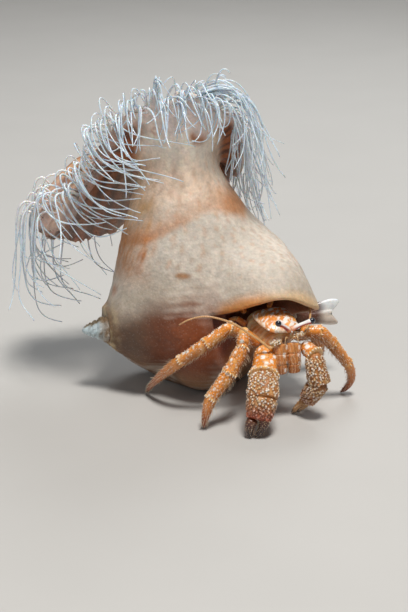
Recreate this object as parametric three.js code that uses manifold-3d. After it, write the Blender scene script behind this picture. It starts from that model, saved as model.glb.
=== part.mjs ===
// A life-size still model of a deep-water hermit crab in the house it carries: a whelk-like shell that is
// cloaked and extended by a sea anemone, whose column and crown of tentacles stand on the shell.
// Units are millimetres, +Z is up, and the animal faces -Y. Every foot and the shell's belly end in small
// flats at one level, which is the floor.
import * as THREE from "three";
import Module from "manifold-3d";
import { mergeVertices } from "three/addons/utils/BufferGeometryUtils.js";

const wasm = await Module();
wasm.setup();

// ---------------------------------------------------------------- driving dimensions
const GAP = 0.3; // clearance between neighbouring pieces
const DEG = Math.PI / 180;
const V = (x, y, z) => new THREE.Vector3(x, y, z);
const UP = V(0, 0, 1);

// The coiled shell: a tube swept round an axis, growing by a constant ratio in each turn.
const APEX = V(-31, 4, 17); // tip of the spire
const AXIS_YAW = 10; // degrees that the axis swings back on its way to the canal
const AXIS_PITCH = 0.5; // degrees that it climbs on the way
const TURN_GROWTH = 1.75; // size ratio of one whole turn
const LIP_ANGLE = 330; // degrees round the axis to the outer lip: 0 front, 90 below, 180 back, 270 above
const WHORL_REACH = 46.5; // from the apex to the middle of the mouth, along the axis
const WHORL_OFFSET = 13.2; // from the axis to the middle of the mouth
const WHORL_RADIAL = 12.3; // half the mouth's height
const WHORL_AXIAL = 13; // half the mouth's length
const WALL = 1.3;
const SHELL_INSET = 0.8; // how far the snail's own shell lies under the line of the coil
const SOLE = 1; // thickness of the cloak under the shell's belly
const OLD_SHELL_END = -205; // degrees before the lip where the snail's own shell stops and the cloak goes on
const LIP_SKEW = 5; // degrees that the lip's spire end runs on beyond its middle
const LIP_DROP = 6; // degrees that its canal end runs on
const CAVITY_START = -290; // degrees before the lip where the living space ends
const CANAL_LENGTH = 67; // the axial pillar, from the apex to the canal's tip

// The anemone's foot and column: oval sections at a few heights, [z, x, y, half width, half depth].
const COLUMN_SECTIONS = [
  [-1, -1, 16.5, 10, 6],
  [5, -2, 16.5, 18, 9.5],
  [12, -1.5, 15, 22.3, 13.5],
  [20, -1.5, 13.5, 23, 17],
  [27, -1.4, 13, 22.1, 18],
  [34, -2, 13, 20.1, 17],
  [42, -3.3, 13.2, 17.1, 15],
  [50, -5, 13.6, 13.2, 12.4],
  [55, -5.8, 14, 10.8, 10.6],
  [60, -6.2, 14, 9.1, 9.3],
  [67, -6.6, 13.8, 9.3, 9.4],
];
const FOOT_TOP = 42; // height of the cut between foot and column
const COLUMN_TOP = 56; // height of the cut between column and crown
const CLOAK = 0.6; // how far the cloak stands over the coiled shell
const BLEND = 6; // how softly the column runs into the coils
const COLLAR = 5.9; // radius of the cloak's edge round the foot of the spire
const FLANK = { point: V(2, -4, 16), normal: V(0.55, -0.83, 0).normalize() }; // the belly slants back into the mouth

// The crown: a disc on the neck whose rim stands high at the front and droops at the back and on the left.
// Seen from above the rim is an oval. The rows say, by degrees round it (0 right, 90 back, 180 left, 270 front),
// which share of the way from the neck to the oval the rim reaches and how high it lies.
const NECK = V(-7, 14, 61);
const RIM = { x: -17, y: 19, wide: 28, deep: 15.5 };
const RIM_ROWS = [
  [-80, 1, 76], [-60, 1, 75.5], [-45, 1, 74.3], [-30, 1, 72], [-15, 1, 67.5], [0, 1, 61], [30, 1, 51], [60, 1, 46],
  [90, 1, 41], [105, 1, 37], [120, 1, 35], [140, 1, 35.5], [160, 1, 38.5], [180, 1, 42], [200, 1, 43], [215, 0.94, 43.5],
  [228, 0.88, 48], [240, 0.9, 57], [252, 0.96, 66.5], [265, 1, 73.5], [280, 1, 76],
];
const DISC_HEIGHT = 63; // over the neck
const RIM_TUBE = 1.2;
const RIM_SEAT = 1.7; // radius of the groove that the tentacles' bands lie in
const CLEARANCE = 1.5; // between tentacles and column
const TENTACLE_SECTORS = 8;
const TENTACLES_PER_SECTOR = 4;
const TENTACLE_THICK = 0.9;
const TENTACLE_TIP = 0.5;

// ---------------------------------------------------------------- solids
const colours = {
  anemone: 0xe3b791, crown: 0xd9b49a, tentacle: 0xbfd3dc, shell: 0x9a7d63, spire: 0xc9c6b8, canal: 0xeeeae2,
  orange: 0xdd7a2c, claw: 0xc98a4c, tip: 0x8a3c22, tan: 0xc9a27c, eye: 0x0c1018, stalk: 0xe6d6cf, flagellum: 0xc7a27c,
};
const materials = Object.fromEntries(Object.entries(colours).map(([name, color]) => [
  name, new THREE.MeshStandardMaterial({ color, roughness: name === "eye" ? 0.15 : 0.55, metalness: 0 }),
]));

// A closed mesh from rings of points: quads between rings and a fan over each end.
function ringsToGeometry(rings) {
  const count = rings[0].length;
  const points = rings.flat();
  const faces = [];
  for (let i = 0; i + 1 < rings.length; i++)
    for (let j = 0; j < count; j++) {
      const a = i * count + j;
      const b = i * count + ((j + 1) % count);
      faces.push(a, b, b + count, a, b + count, a + count);
    }
  for (const end of [0, rings.length - 1]) {
    const middle = rings[end].reduce((sum, p) => sum.add(p), V(0, 0, 0)).divideScalar(count);
    points.push(middle);
    for (let j = 0; j < count; j++) {
      const a = end * count + j;
      const b = end * count + ((j + 1) % count);
      if (end === 0) faces.push(b, a, points.length - 1);
      else faces.push(a, b, points.length - 1);
    }
  }
  const geometry = new THREE.BufferGeometry().setFromPoints(points);
  geometry.setIndex(faces);
  return geometry;
}

function solidOf(geometry) {
  const bare = new THREE.BufferGeometry().setAttribute("position", geometry.getAttribute("position"));
  if (geometry.index) bare.setIndex(geometry.index);
  const merged = mergeVertices(bare, 1e-4);
  const make = (triVerts) => new wasm.Manifold(
    new wasm.Mesh({ numProp: 3, vertProperties: merged.attributes.position.array, triVerts }),
  );
  const faces = new Uint32Array(merged.index.array);
  const made = make(faces);
  if (made.volume() > 0) return made;
  for (let i = 0; i < faces.length; i += 3) [faces[i], faces[i + 1]] = [faces[i + 1], faces[i]];
  return make(faces);
}

function geometryOf(solid) {
  const mesh = solid.getMesh();
  const geometry = new THREE.BufferGeometry();
  geometry.setAttribute("position", new THREE.BufferAttribute(new Float32Array(mesh.vertProperties), 3));
  geometry.setIndex(new THREE.BufferAttribute(new Uint32Array(mesh.triVerts), 1));
  return geometry;
}

const loft = (rings) => solidOf(ringsToGeometry(rings));
const union = (solids) => solids.reduce((all, one) => all.add(one));

// A box from three.js as a solid, given its lowest and highest corner.
function block(low, high) {
  const size = high.clone().sub(low);
  const middle = low.clone().add(high).multiplyScalar(0.5);
  return solidOf(new THREE.BoxGeometry(size.x, size.y, size.z).translate(middle.x, middle.y, middle.z));
}

// A tube of a few sides through points, tapering from one radius to another.
function tube(points, r0, r1, sides = 5) {
  const curve = new THREE.CatmullRomCurve3(points);
  const steps = points.length - 1;
  const frames = curve.computeFrenetFrames(steps, false);
  const rings = [];
  for (let i = 0; i <= steps; i++) {
    const centre = curve.getPointAt(i / steps);
    const r = r0 + ((r1 - r0) * i) / steps;
    rings.push(Array.from({ length: sides }, (_, j) => {
      const a = (j / sides) * 2 * Math.PI;
      return centre.clone().addScaledVector(frames.normals[i], r * Math.cos(a))
        .addScaledVector(frames.binormals[i], r * Math.sin(a));
    }));
  }
  return loft(rings);
}

const floor = block(V(-200, -200, -60), V(200, 200, 0));
const above = (z) => block(V(-200, -200, z), V(200, 200, 300));
const below = (z) => block(V(-200, -200, -60), V(200, 200, z));

const model = new THREE.Group();
function piece(name, solid, material) {
  const bodies = solid.decompose().sort((a, b) => b.volume() - a.volume()); // crumbs that a cut leaves are dropped
  const mesh = new THREE.Mesh(geometryOf(bodies[0]), materials[material]);
  mesh.name = name;
  model.add(mesh);
}

// Smooth value of a table's column at position t (Catmull-Rom through the rows, which need not be evenly spaced).
function along(table, t, column) {
  const last = table.length - 1;
  let i = 0;
  while (i < last - 1 && t > table[i + 1][0]) i++;
  const [t0, t1] = [table[i][0], table[i + 1][0]];
  const s = Math.min(1, Math.max(0, (t - t0) / (t1 - t0)));
  const slope = (k) => {
    const a = Math.max(0, k - 1);
    const b = Math.min(last, k + 1);
    return ((table[b][column] - table[a][column]) / (table[b][0] - table[a][0])) * (t1 - t0);
  };
  const [p, q] = [table[i][column], table[i + 1][column]];
  const [m, n] = [slope(i), slope(i + 1)];
  return (2 * s ** 3 - 3 * s ** 2 + 1) * p + (s ** 3 - 2 * s ** 2 + s) * m
    + (3 * s ** 2 - 2 * s ** 3) * q + (s ** 3 - s ** 2) * n;
}

// ---------------------------------------------------------------- the coiled shell
const shellPlace = new THREE.Matrix4()
  .makeRotationZ(AXIS_YAW * DEG)
  .multiply(new THREE.Matrix4().makeRotationY(-AXIS_PITCH * DEG))
  .setPosition(APEX);

// A point on the tube: turn is degrees before the lip (0 at the lip, negative behind it), around runs round
// the tube's section, and grow moves the surface outwards.
function whorlPoint(turn, around, grow) {
  const g = TURN_GROWTH ** (turn / 360);
  const reach = WHORL_OFFSET * g + (WHORL_RADIAL * g + grow) * Math.cos(around);
  const axial = WHORL_REACH * g + (WHORL_AXIAL * g + grow) * Math.sin(around);
  const angle = (LIP_ANGLE + turn) * DEG;
  return V(axial, -reach * Math.cos(angle), -reach * Math.sin(angle)).applyMatrix4(shellPlace);
}

function whorlTube(from, to, grow, { step = 30, sides = 14, skew = 0, drop = 0 } = {}) {
  const steps = Math.max(1, Math.round((to - from) / step));
  const rings = [];
  for (let i = 0; i <= steps; i++) {
    const turn = from + ((to - from) * i) / steps;
    rings.push(Array.from({ length: sides }, (_, j) => {
      const around = (j / sides) * 2 * Math.PI;
      const late = drop * Math.max(0, Math.min(1, (Math.sin(around) - 0.1) / 0.9));
      return whorlPoint(turn + late - skew * Math.min(0, Math.sin(around) + 0.1), around, grow);
    }));
  }
  return loft(rings);
}

// The same tube in lengths of under a turn, joined: one turn may lie inside the next.
function coil(from, to, grow, options) {
  const parts = [];
  for (let end = to; end > from + 1; end -= 180) parts.push(whorlTube(Math.max(from, end - 182), end, grow, options));
  return union(parts);
}

function pillar(grow) {
  const profile = [
    [0, -grow], [1.2 + grow, 0.6], [1.7 + grow, 1.3], [2.4 + grow, 1.9], [2.7 + grow, 3.1], [3.5 + grow, 3.8],
    [3.8 + grow, 5.4], [4.6 + grow, 6.4], [4.9 + grow, 9], [4.6 + grow, 26], [4.4 + grow, 40], [3.3 + grow, 52],
    [2.7 + grow, 60], [2.3 + grow, CANAL_LENGTH - 1], [0, CANAL_LENGTH + grow],
  ].map(([r, x]) => new THREE.Vector2(r, x));
  return solidOf(new THREE.LatheGeometry(profile, 14).rotateZ(-90 * DEG).applyMatrix4(shellPlace));
}

const COARSE = { step: 45, sides: 10 };
const cavity = coil(CAVITY_START, 7, -WALL, { step: 36, sides: 12 });
const oldRoom = coil(CAVITY_START, OLD_SHELL_END + 1, -WALL - SHELL_INSET, COARSE)
  .subtract(coil(-700, CAVITY_START - 40, 0, COARSE)).subtract(pillar(0));
const oldShell = coil(-700, OLD_SHELL_END, -SHELL_INSET, COARSE).add(pillar(0)).subtract(oldRoom)
  .subtract(below(SOLE + GAP));
const oldShellGrown = coil(-700, OLD_SHELL_END + 1, GAP - SHELL_INSET, COARSE).add(pillar(GAP)).subtract(below(SOLE));

const alongAxis = (x) => V(x, 0, 0).applyMatrix4(shellPlace).x;
const slab = (x0, x1) => block(V(alongAxis(x0), -200, -60), V(alongAxis(x1), 200, 200));
const SPIRE_END = 6.5; // lengths along the axis where the spire and the canal are parted from the whorl
const CANAL_START = 56;
piece("shell_spire", oldShell.intersect(slab(-5, SPIRE_END)), "spire");
piece("shell_whorl", oldShell.intersect(slab(SPIRE_END + GAP, CANAL_START - GAP)), "shell");
const groove = solidOf(new THREE.BoxGeometry(12, 6, 1.3).translate(CANAL_LENGTH, -2.2, 0).applyMatrix4(shellPlace));
piece("shell_canal", oldShell.intersect(slab(CANAL_START, CANAL_LENGTH + 5)).subtract(groove), "canal");

// ---------------------------------------------------------------- the crab's body
const FORWARD = V(0.5, -0.84, -0.2).normalize();
const LEFT = new THREE.Vector3().crossVectors(UP, FORWARD).normalize();
const DORSAL = new THREE.Vector3().crossVectors(FORWARD, LEFT);
const SHIELD_CENTRE = V(17.4, -7, 23);
const inBody = (f, l, u) => SHIELD_CENTRE.clone().addScaledVector(FORWARD, f).addScaledVector(LEFT, l).addScaledVector(DORSAL, u);

// Oval rings across the body: [forward, half width, top, bottom].
function bodyLoft(rows, grow = 0) {
  const sides = 14;
  return loft(rows.map(([f, wide, top, bottom], i) => Array.from({ length: sides }, (_, j) => {
    const a = (j / sides) * 2 * Math.PI;
    const onward = i === 0 ? grow : i === rows.length - 1 ? -grow : 0;
    return inBody(f + onward, (wide + grow) * Math.cos(a), (top + bottom) / 2 + ((top - bottom) / 2 + grow) * Math.sin(a));
  })));
}

piece("shield", bodyLoft([
  [5.6, 1.6, 0.9, 0.2], [4.6, 3.3, 1.6, 0], [2.5, 4.6, 2.4, -0.2], [-0.5, 5, 2.8, -0.2], [-3, 4.7, 2.6, 0], [-4.6, 3.6, 2, 0.3],
]), "orange");
const THORAX = [
  [4.8, 2.4, -0.45, -4], [3, 4, -0.6, -5.6], [0, 4.6, -0.6, -6.2], [-3.5, 4.6, -0.6, -6], [-6, 4, -0.2, -5], [-8, 2.8, 0, -3.6],
];
piece("thorax", bodyLoft(THORAX), "tan");
const thoraxGrown = bodyLoft(THORAX, GAP);

// The soft belly lies along the coil of the living space.
const bellyPoint = (turn) => {
  const g = TURN_GROWTH ** (turn / 360);
  const angle = (LIP_ANGLE + turn) * DEG;
  const reach = (WHORL_OFFSET + 2.5) * g;
  return V((WHORL_REACH - 2) * g, -reach * Math.cos(angle), -reach * Math.sin(angle)).applyMatrix4(shellPlace);
};
const bellyPath = Array.from({ length: 10 }, (_, i) => bellyPoint(-48 - i * 20));
piece("belly", tube(bellyPath, 4.6, 1.8, 12), "tan");

// ---------------------------------------------------------------- the crab's limbs
// A stretch between two joints: an oval section that narrows at both ends. The end faces lie in the planes given,
// which lean towards the bend at a joint, and stop half a gap short of it. grow makes it larger all round.
function stretch(from, to, startNormal, endNormal, shape, grow = 0) {
  const axis = to.clone().sub(from);
  const length = axis.length();
  axis.normalize();
  const side = new THREE.Vector3().crossVectors(axis, shape.up).normalize();
  const top = new THREE.Vector3().crossVectors(side, axis);
  const sides = shape.sides ?? 8;
  const stops = [[0, 0.74], [0.18, 0.96], [0.8, 1], [1, 0.76]];
  return loft(stops.map(([t, swell]) => {
    const mix = 0.6 * (t < 0.5 ? Math.max(0, 1 - t * 4) : Math.max(0, 1 - (1 - t) * 4));
    const normal = axis.clone().lerp(t < 0.5 ? startNormal : endNormal, mix).normalize();
    const centre = from.clone().addScaledVector(axis, GAP / 2 - grow + (length - GAP + 2 * grow) * t);
    const wide = (shape.wide[0] + (shape.wide[1] - shape.wide[0]) * t) * swell + grow;
    const high = (shape.high[0] + (shape.high[1] - shape.high[0]) * t) * swell + grow;
    return Array.from({ length: sides }, (_, j) => {
      const a = ((j + 0.5) / sides) * 2 * Math.PI;
      const offset = side.clone().multiplyScalar(wide * Math.cos(a)).addScaledVector(top, high * Math.sin(a));
      return centre.clone().add(offset).addScaledVector(axis, -offset.dot(normal) / axis.dot(normal));
    });
  }));
}

// The plane that halves the bend at joint i of a chain.
function mitre(joints, i) {
  const before = i > 0 ? joints[i].clone().sub(joints[i - 1]).normalize() : null;
  const after = i + 1 < joints.length ? joints[i + 1].clone().sub(joints[i]).normalize() : null;
  if (!before) return after;
  if (!after) return before;
  return before.add(after).normalize();
}

// A curved, tapering last joint from a to the tip, bowed towards the point given. It runs a little under the
// floor, which then cuts its flat.
function talon(a, bow, tip, start, end, grow = 0) {
  const curve = new THREE.QuadraticBezierCurve3(a, bow, tip);
  const heading = curve.getTangent(0);
  const steps = 5;
  const points = Array.from({ length: steps + 1 }, (_, i) => curve.getPoint(i / steps));
  points[0].addScaledVector(heading, GAP / 2 - grow);
  const path = new THREE.CatmullRomCurve3(points);
  const frames = path.computeFrenetFrames(steps, false);
  const sides = 7;
  const rings = points.map((_, i) => {
    const t = i / steps;
    const r = (start + (end - start) * t ** 1.2) * (i === 0 ? 0.8 : 1) + grow;
    return Array.from({ length: sides }, (_, j) => {
      const angle = (j / sides) * 2 * Math.PI;
      return path.getPointAt(t).addScaledVector(frames.normals[i], r * Math.cos(angle))
        .addScaledVector(frames.binormals[i], r * Math.sin(angle));
    });
  });
  return loft(rings).subtract(floor);
}

// Places a piece clear of its neighbours and hands back its enlarged form for the next one to be cut by.
function limbPiece(name, make, material, neighbours) {
  piece(name, neighbours.reduce((left, other) => left.subtract(other), make(0)), material);
  return make(GAP);
}

// A walking leg: hip, the ends of merus, carpus and propodus, and the tip. radii are the half widths of the joints.
// A hip, where given, runs up to the first joint and is one piece with the thigh.
function walkingLeg(name, joints, bow, radii, hip) {
  let last = thoraxGrown;
  ["thigh", "knee", "shin"].forEach((part, i) => {
    const shape = { up: UP, wide: [radii[i], radii[i + 1]], high: [radii[i] * 1.1, radii[i + 1] * 1.1] };
    last = limbPiece(`${name}_${part}`,
      (grow) => {
        const made = stretch(joints[i], joints[i + 1], mitre(joints, i), mitre(joints, i + 1), shape, grow);
        if (i > 0 || !hip) return made;
        const rise = joints[0].clone().sub(hip).normalize();
        const onward = joints[0].clone().addScaledVector(rise, 0.9);
        return made.add(stretch(hip, onward, rise, rise, { up: UP, wide: [radii[0], radii[0]], high: [radii[0], radii[0]] }, grow));
      }, "orange",
      i === 0 ? [last, ...thighsGrown] : [last]);
    if (i === 0) thighsGrown.push(last);
  });
  limbPiece(`${name}_foot`, (grow) => talon(joints[3], bow, joints[4], radii[3], 0.42, grow), "tip", [last]);
}

const thighsGrown = [];
const FLOOR_DIP = -0.25; // tips end this far under the floor before the flats are cut
walkingLeg("leg1_right", [V(9.8, -11.7, 22.2), V(9.3, -14.8, 19.3), V(6.3, -17, 13.7), V(1.7, -18.6, 7.8), V(0, -18.9, FLOOR_DIP)],
  V(0.2, -19.4, 4), [1.35, 1.5, 1.75, 1.25], V(13.2, -9.4, 18.6));
walkingLeg("leg2_right", [V(11.9, -6.5, 18.4), V(6.1, -10.3, 23), V(0.7, -11, 19.1), V(-5.7, -9.2, 13.9), V(-14.9, 3.6, FLOOR_DIP)],
  V(-12, -4.4, 7.6), [1.2, 1.35, 1.4, 1.25]);
walkingLeg("leg1_left", [V(23.8, -5.2, 20.2), V(28.8, -4.6, 19.8), V(32, -2.6, 16), V(36.3, 0, 9.6), V(35, 3.8, FLOOR_DIP)],
  V(39.4, 2.4, 3.5), [1.4, 1.6, 1.45, 1.2]);
walkingLeg("leg2_left", [V(22.5, -1, 17.4), V(27.4, 0.6, 17.6), V(29.4, 3, 13.8), V(29.2, 6, 7.5), V(28, 8, FLOOR_DIP)],
  V(29.5, 8.2, 3), [1.3, 1.45, 1.35, 1.1]);

// A claw: shoulder, the ends of arm, wrist and palm, and the tip where both fingers meet.
function clawLimb(name, joints, across, sizes) {
  const up = new THREE.Vector3().crossVectors(across, joints[3].clone().sub(joints[2])).normalize();
  let last = thoraxGrown;
  ["arm", "wrist", "palm"].forEach((part, i) => {
    const shape = { up, wide: sizes[i].wide, high: sizes[i].high, sides: 12 };
    last = limbPiece(`${name}_${part}`,
      (grow) => stretch(joints[i], joints[i + 1], mitre(joints, i), mitre(joints, i + 1), shape, grow),
      i === 0 ? "orange" : "claw", [last]);
    if (i === 0) armsGrown.push(last);
  });
  const { wide, high } = sizes[2];
  const run = joints[4].clone().sub(joints[3]);
  const placed = [last];
  [["finger", 1], ["thumb", -1]].forEach(([part, way]) => {
    const base = joints[3].clone().addScaledVector(across, way * wide[1] * 0.46);
    const bow = base.clone().addScaledVector(run, 0.55).addScaledVector(across, way * 0.6);
    const tip = joints[4].clone().addScaledVector(across, way * 0.75);
    const thick = Math.min(wide[1] * 0.44 - GAP / 2, high[1] * 0.9);
    placed.push(limbPiece(`${name}_${part}`, (grow) => talon(base, bow, tip, thick, 0.5, grow), "tip", placed));
  });
}

const armsGrown = [];
clawLimb("claw_right", [V(15.4, -9.8, 17.6), V(14.5, -18.2, 13.7), V(14.1, -22.3, 9.5), V(13.1, -24.2, 4.6), V(11.9, -24.2, FLOOR_DIP)],
  V(1, 0, 0.1).normalize(), [
    { wide: [2.8, 3.4], high: [2.2, 2.9] },
    { wide: [3.5, 3.75], high: [2.9, 2.9] },
    { wide: [3.75, 3.1], high: [2.8, 2.2] },
  ]);
clawLimb("claw_left", [V(24.6, -9, 18.2), V(27, -12.6, 16.8), V(28.4, -13.8, 10), V(25.4, -11.8, 4.4), V(22.4, -9.8, FLOOR_DIP)],
  V(0.75, -0.45, 0.45).normalize(), [
    { wide: [1.6, 2.2], high: [1.6, 2.2] },
    { wide: [2.3, 2.75], high: [2.2, 2.4] },
    { wide: [2.7, 2], high: [2.3, 1.7] },
  ]);

// The two hind pairs are small props that stay inside the shell.
const props = {
  leg3_right: [inBody(-5.5, -4.6, -2.5), inBody(-7.5, -6.2, -1.4), inBody(-10, -6.6, -3.2)],
  leg3_left: [inBody(-5.5, 4.6, -2.5), inBody(-7.5, 6.6, -1.4), inBody(-10, 7.4, -3.2)],
  leg4_right: [inBody(-8, -3.4, -0.6), inBody(-10, -5.4, 1.2), inBody(-12.4, -6, 0.4)],
  leg4_left: [inBody(-8, 3.4, -0.6), inBody(-10, 5.4, 1.2), inBody(-12.4, 6, 0.4)],
};
for (const [name, points] of Object.entries(props)) limbPiece(name, () => tube(points, 0.75, 0.4, 6), "orange", [thoraxGrown]);

// ---------------------------------------------------------------- the anemone
function columnRing(z, sides = 32, grow = 0) {
  const [x, y, wide, deep] = [1, 2, 3, 4].map((column) => along(COLUMN_SECTIONS, z, column));
  return Array.from({ length: sides }, (_, j) => {
    const a = (j / sides) * 2 * Math.PI;
    return V(x + (wide + grow) * Math.cos(a), y + (deep + grow) * Math.sin(a), z);
  });
}

function columnLoft(from, to, step = 4) {
  const steps = Math.ceil((to - from) / step);
  return loft(Array.from({ length: steps + 1 }, (_, i) => columnRing(from + ((to - from) * i) / steps)));
}

// How far a point lies outside the coils, taken from the lip back to the turn given and past the lip by a while.
const shellInverse = shellPlace.clone().invert();
const blend = (a, b, k) => Math.min(a, b) - Math.max(0, k - Math.abs(a - b)) ** 2 / (4 * k);
function coilDistance(p, oldest, newest, lip = false) {
  const q = p.clone().applyMatrix4(shellInverse);
  const radius = Math.hypot(q.y, q.z);
  let turn = Math.atan2(-q.z, -q.y) / DEG - LIP_ANGLE;
  while (turn < -180) turn += 360;
  const pastLip = (turn - 1) * DEG * Math.max(radius, 3);
  while (turn + 360 <= newest) turn += 360;
  while (turn > newest) turn -= 360;
  let distance = 99;
  for (; turn > oldest; turn -= 360) {
    const g = TURN_GROWTH ** (turn / 360);
    const oval = Math.hypot((radius - WHORL_OFFSET * g) / (WHORL_RADIAL * g), (q.x - WHORL_REACH * g) / (WHORL_AXIAL * g));
    distance = blend(distance, (oval - 1) * WHORL_RADIAL * g, 4);
  }
  return lip ? Math.max(distance, pastLip) : distance;
}

function columnDistance(p) {
  const [x, y, wide, deep] = [1, 2, 3, 4].map((column) => along(COLUMN_SECTIONS, p.z, column));
  return (Math.hypot((p.x - x) / wide, (p.y - y) / deep) - 1) * Math.min(wide, deep);
}

// How far a point lies outside the soft body that column and coils make together.
function bodyDistance(p) {
  const coils = blend(coilDistance(p, -760, -170), coilDistance(p, -190, 40, true), 4);
  const q = p.clone().applyMatrix4(shellInverse);
  const collar = Math.max(Math.hypot(q.y, q.z) - COLLAR - 0.2 * (q.x - 7), Math.max(7.1 - q.x, q.x - 18));
  return blend(columnDistance(p), blend(coils - CLOAK, collar, 2), BLEND);
}

// A ring at height z round the soft body: from outside, the first point met.
function bodyRing(z, sides) {
  const [x, y] = [1, 2].map((column) => along(COLUMN_SECTIONS, z, column));
  const field = (r, c, s) => bodyDistance(V(x + r * c, y + r * s, z));
  return Array.from({ length: sides }, (_, j) => {
    const [c, s] = [Math.cos((j / sides) * 2 * Math.PI), Math.sin((j / sides) * 2 * Math.PI)];
    let r = 48;
    while (r > 1 && field(r, c, s) > 0) r -= 0.5;
    let [inside, outside] = [r, r + 0.5];
    for (let i = 0; i < 8; i++) {
      const half = (inside + outside) / 2;
      if (field(half, c, s) > 0) outside = half;
      else inside = half;
    }
    return V(x + inside * c, y + inside * s, z);
  });
}

function bodyEnvelope(from, to, step, sides) {
  const steps = Math.ceil((to - from) / step);
  return loft(Array.from({ length: steps + 1 }, (_, i) => bodyRing(from + ((to - from) * i) / steps, sides)));
}

const flank = solidOf(new THREE.BoxGeometry(120, 120, 120)
  .translate(0, 0, -60).applyMatrix4(new THREE.Matrix4().lookAt(FLANK.normal, V(0, 0, 0), UP).setPosition(FLANK.point)));
const beyondLip = coil(0, 66, 4.5, { step: 22, sides: 16, skew: LIP_SKEW, drop: LIP_DROP }).subtract(flank);
const mouthOpening = beyondLip.add(cavity);
piece("anemone_foot", bodyEnvelope(0, FOOT_TOP - GAP / 2, 4, 30).subtract(mouthOpening.add(oldShellGrown)).subtract(union(thighsGrown))
  .subtract(slab(-5, SPIRE_END + GAP)), "anemone");
piece("anemone_column", bodyEnvelope(FOOT_TOP + GAP / 2, COLUMN_TOP - GAP / 2, 3.6, 28).subtract(cavity), "anemone");

// The rim of the crown at an angle: 0 right, 90 back, 180 left, 270 front.
function rimPoint(angle) {
  const [c, s] = [Math.cos(angle), Math.sin(angle)];
  const reading = ((angle / DEG + 80) % 360 + 360) % 360 - 80;
  const [share, z] = [1, 2].map((column) => along(RIM_ROWS, reading, column));
  return V(NECK.x + share * (RIM.x + RIM.wide * c - NECK.x), NECK.y + share * (RIM.y + RIM.deep * s - NECK.y), z);
}

// Height of the disc's upper face at the share s of the way from the neck's middle to a rim point.
function discHeight(rim, s) {
  const power = 1.3 + 2.4 * Math.min(1, Math.max(0, (DISC_HEIGHT - rim.z) / 18));
  return DISC_HEIGHT + (rim.z - DISC_HEIGHT) * s ** power;
}

// How far the column's section at height z reaches from the neck's middle in a direction (x, y).
function reachOf(z, x, y) {
  const [cx, cy, wide, deep] = [1, 2, 3, 4].map((column) => along(COLUMN_SECTIONS, z, column));
  const [ox, oy] = [(NECK.x - cx) / wide, (NECK.y - cy) / deep];
  const [a, b, c] = [(x / wide) ** 2 + (y / deep) ** 2, (x / wide) * ox + (y / deep) * oy, ox * ox + oy * oy - 1];
  return (-b + Math.sqrt(b * b - a * c)) / a;
}

function crownSolid() {
  const sides = 26;
  const rims = Array.from({ length: sides }, (_, j) => rimPoint((j / sides) * 2 * Math.PI));
  const ring = (place) => rims.map((rim) => {
    const [dx, dy] = [rim.x - NECK.x, rim.y - NECK.y];
    const far = Math.hypot(dx, dy);
    const [r, z] = place(rim, far, dx / far, dy / far);
    return V(NECK.x + (dx / far) * r, NECK.y + (dy / far) * r, z);
  });
  const bottom = COLUMN_TOP + GAP / 2;
  const neck = (x, y) => reachOf(61, x, y);
  const underside = (t) => ring((rim, far, x, y) => {
    const r = neck(x, y) + (far - neck(x, y)) * t;
    return [r, Math.max(discHeight(rim, r / far) - 2.6 + 1.2 * t, t < 0.05 ? bottom + 1 : -9)];
  });
  const disc = (s) => ring((rim, far) => [far * s, discHeight(rim, s)]);
  return loft([
    ring((rim, far, x, y) => [reachOf(bottom, x, y), bottom]),
    ...[0, 0.3, 0.6, 0.85, 1].map(underside), ...[0.98, 0.8, 0.55, 0.25].map(disc),
  ]);
}

// A tentacle from the rim: it rises, arches outwards and falls. How far depends on where it grows: those at the
// two drooping sides hang long, and those at the front left sweep across the column.
function tentaclePoints(angle, variety) {
  const [c, s] = [Math.cos(angle), Math.sin(angle)];
  const root = rimPoint(angle);
  const side = Math.abs(c) ** 1.5;
  const front = Math.max(0, -Math.cos(angle - 50 * DEG)) ** 3;
  const reach = 5 + 2.5 * variety + 1.5 * front;
  const rise = 3 + 2.5 * variety;
  const drop = 11 + (c < 0 ? 14 : 0) * side + 6 * variety;
  const sweep = front * (9 + 6 * variety);
  const steps = 4;
  return Array.from({ length: steps + 1 }, (_, i) => {
    const t = i / steps;
    const out = reach * Math.sin((Math.PI / 2) * Math.min(1, 1.7 * t)) - 1.5 * t;
    const p = V(root.x + c * out + sweep * t ** 2, root.y + s * out - 3 * front * t ** 2,
      root.z + rise * Math.sin(Math.PI * Math.min(1, 1.6 * t)) - drop * t ** 1.6);
    while (bodyDistance(p) < CLEARANCE) p.add(V(0.3 * c, 0.3 * s, 0));
    return p;
  });
}

const crown = crownSolid();
const rimBand = (from, to) => {
  const steps = 5;
  return tube(Array.from({ length: steps + 1 }, (_, i) => rimPoint(from + ((to - from) * i) / steps)),
    RIM_TUBE, RIM_TUBE, 6);
};
const rimGrown = union([0, 1].map((half) => tube(
  Array.from({ length: 23 }, (_, i) => rimPoint((half + (i - 1) / 20) * Math.PI)), RIM_SEAT, RIM_SEAT, 6)));
piece("anemone_crown", crown.subtract(rimGrown), "crown");

for (let sector = 0; sector < TENTACLE_SECTORS; sector++) {
  const span = (2 * Math.PI) / TENTACLE_SECTORS;
  const from = sector * span + 0.014;
  const to = (sector + 1) * span - 0.014;
  let bunch = rimBand(from, to);
  for (let k = 0; k < TENTACLES_PER_SECTOR; k++) {
    const angle = from + ((to - from) * (k + 0.5)) / TENTACLES_PER_SECTOR;
    const variety = Math.sin(12.9 * (sector * TENTACLES_PER_SECTOR + k)) * 0.5 + 0.5;
    bunch = bunch.add(tube(tentaclePoints(angle, variety), TENTACLE_THICK / 2, TENTACLE_TIP / 2, 4));
  }
  piece(`tentacles_${sector + 1}`, bunch, "tentacle");
}

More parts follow.
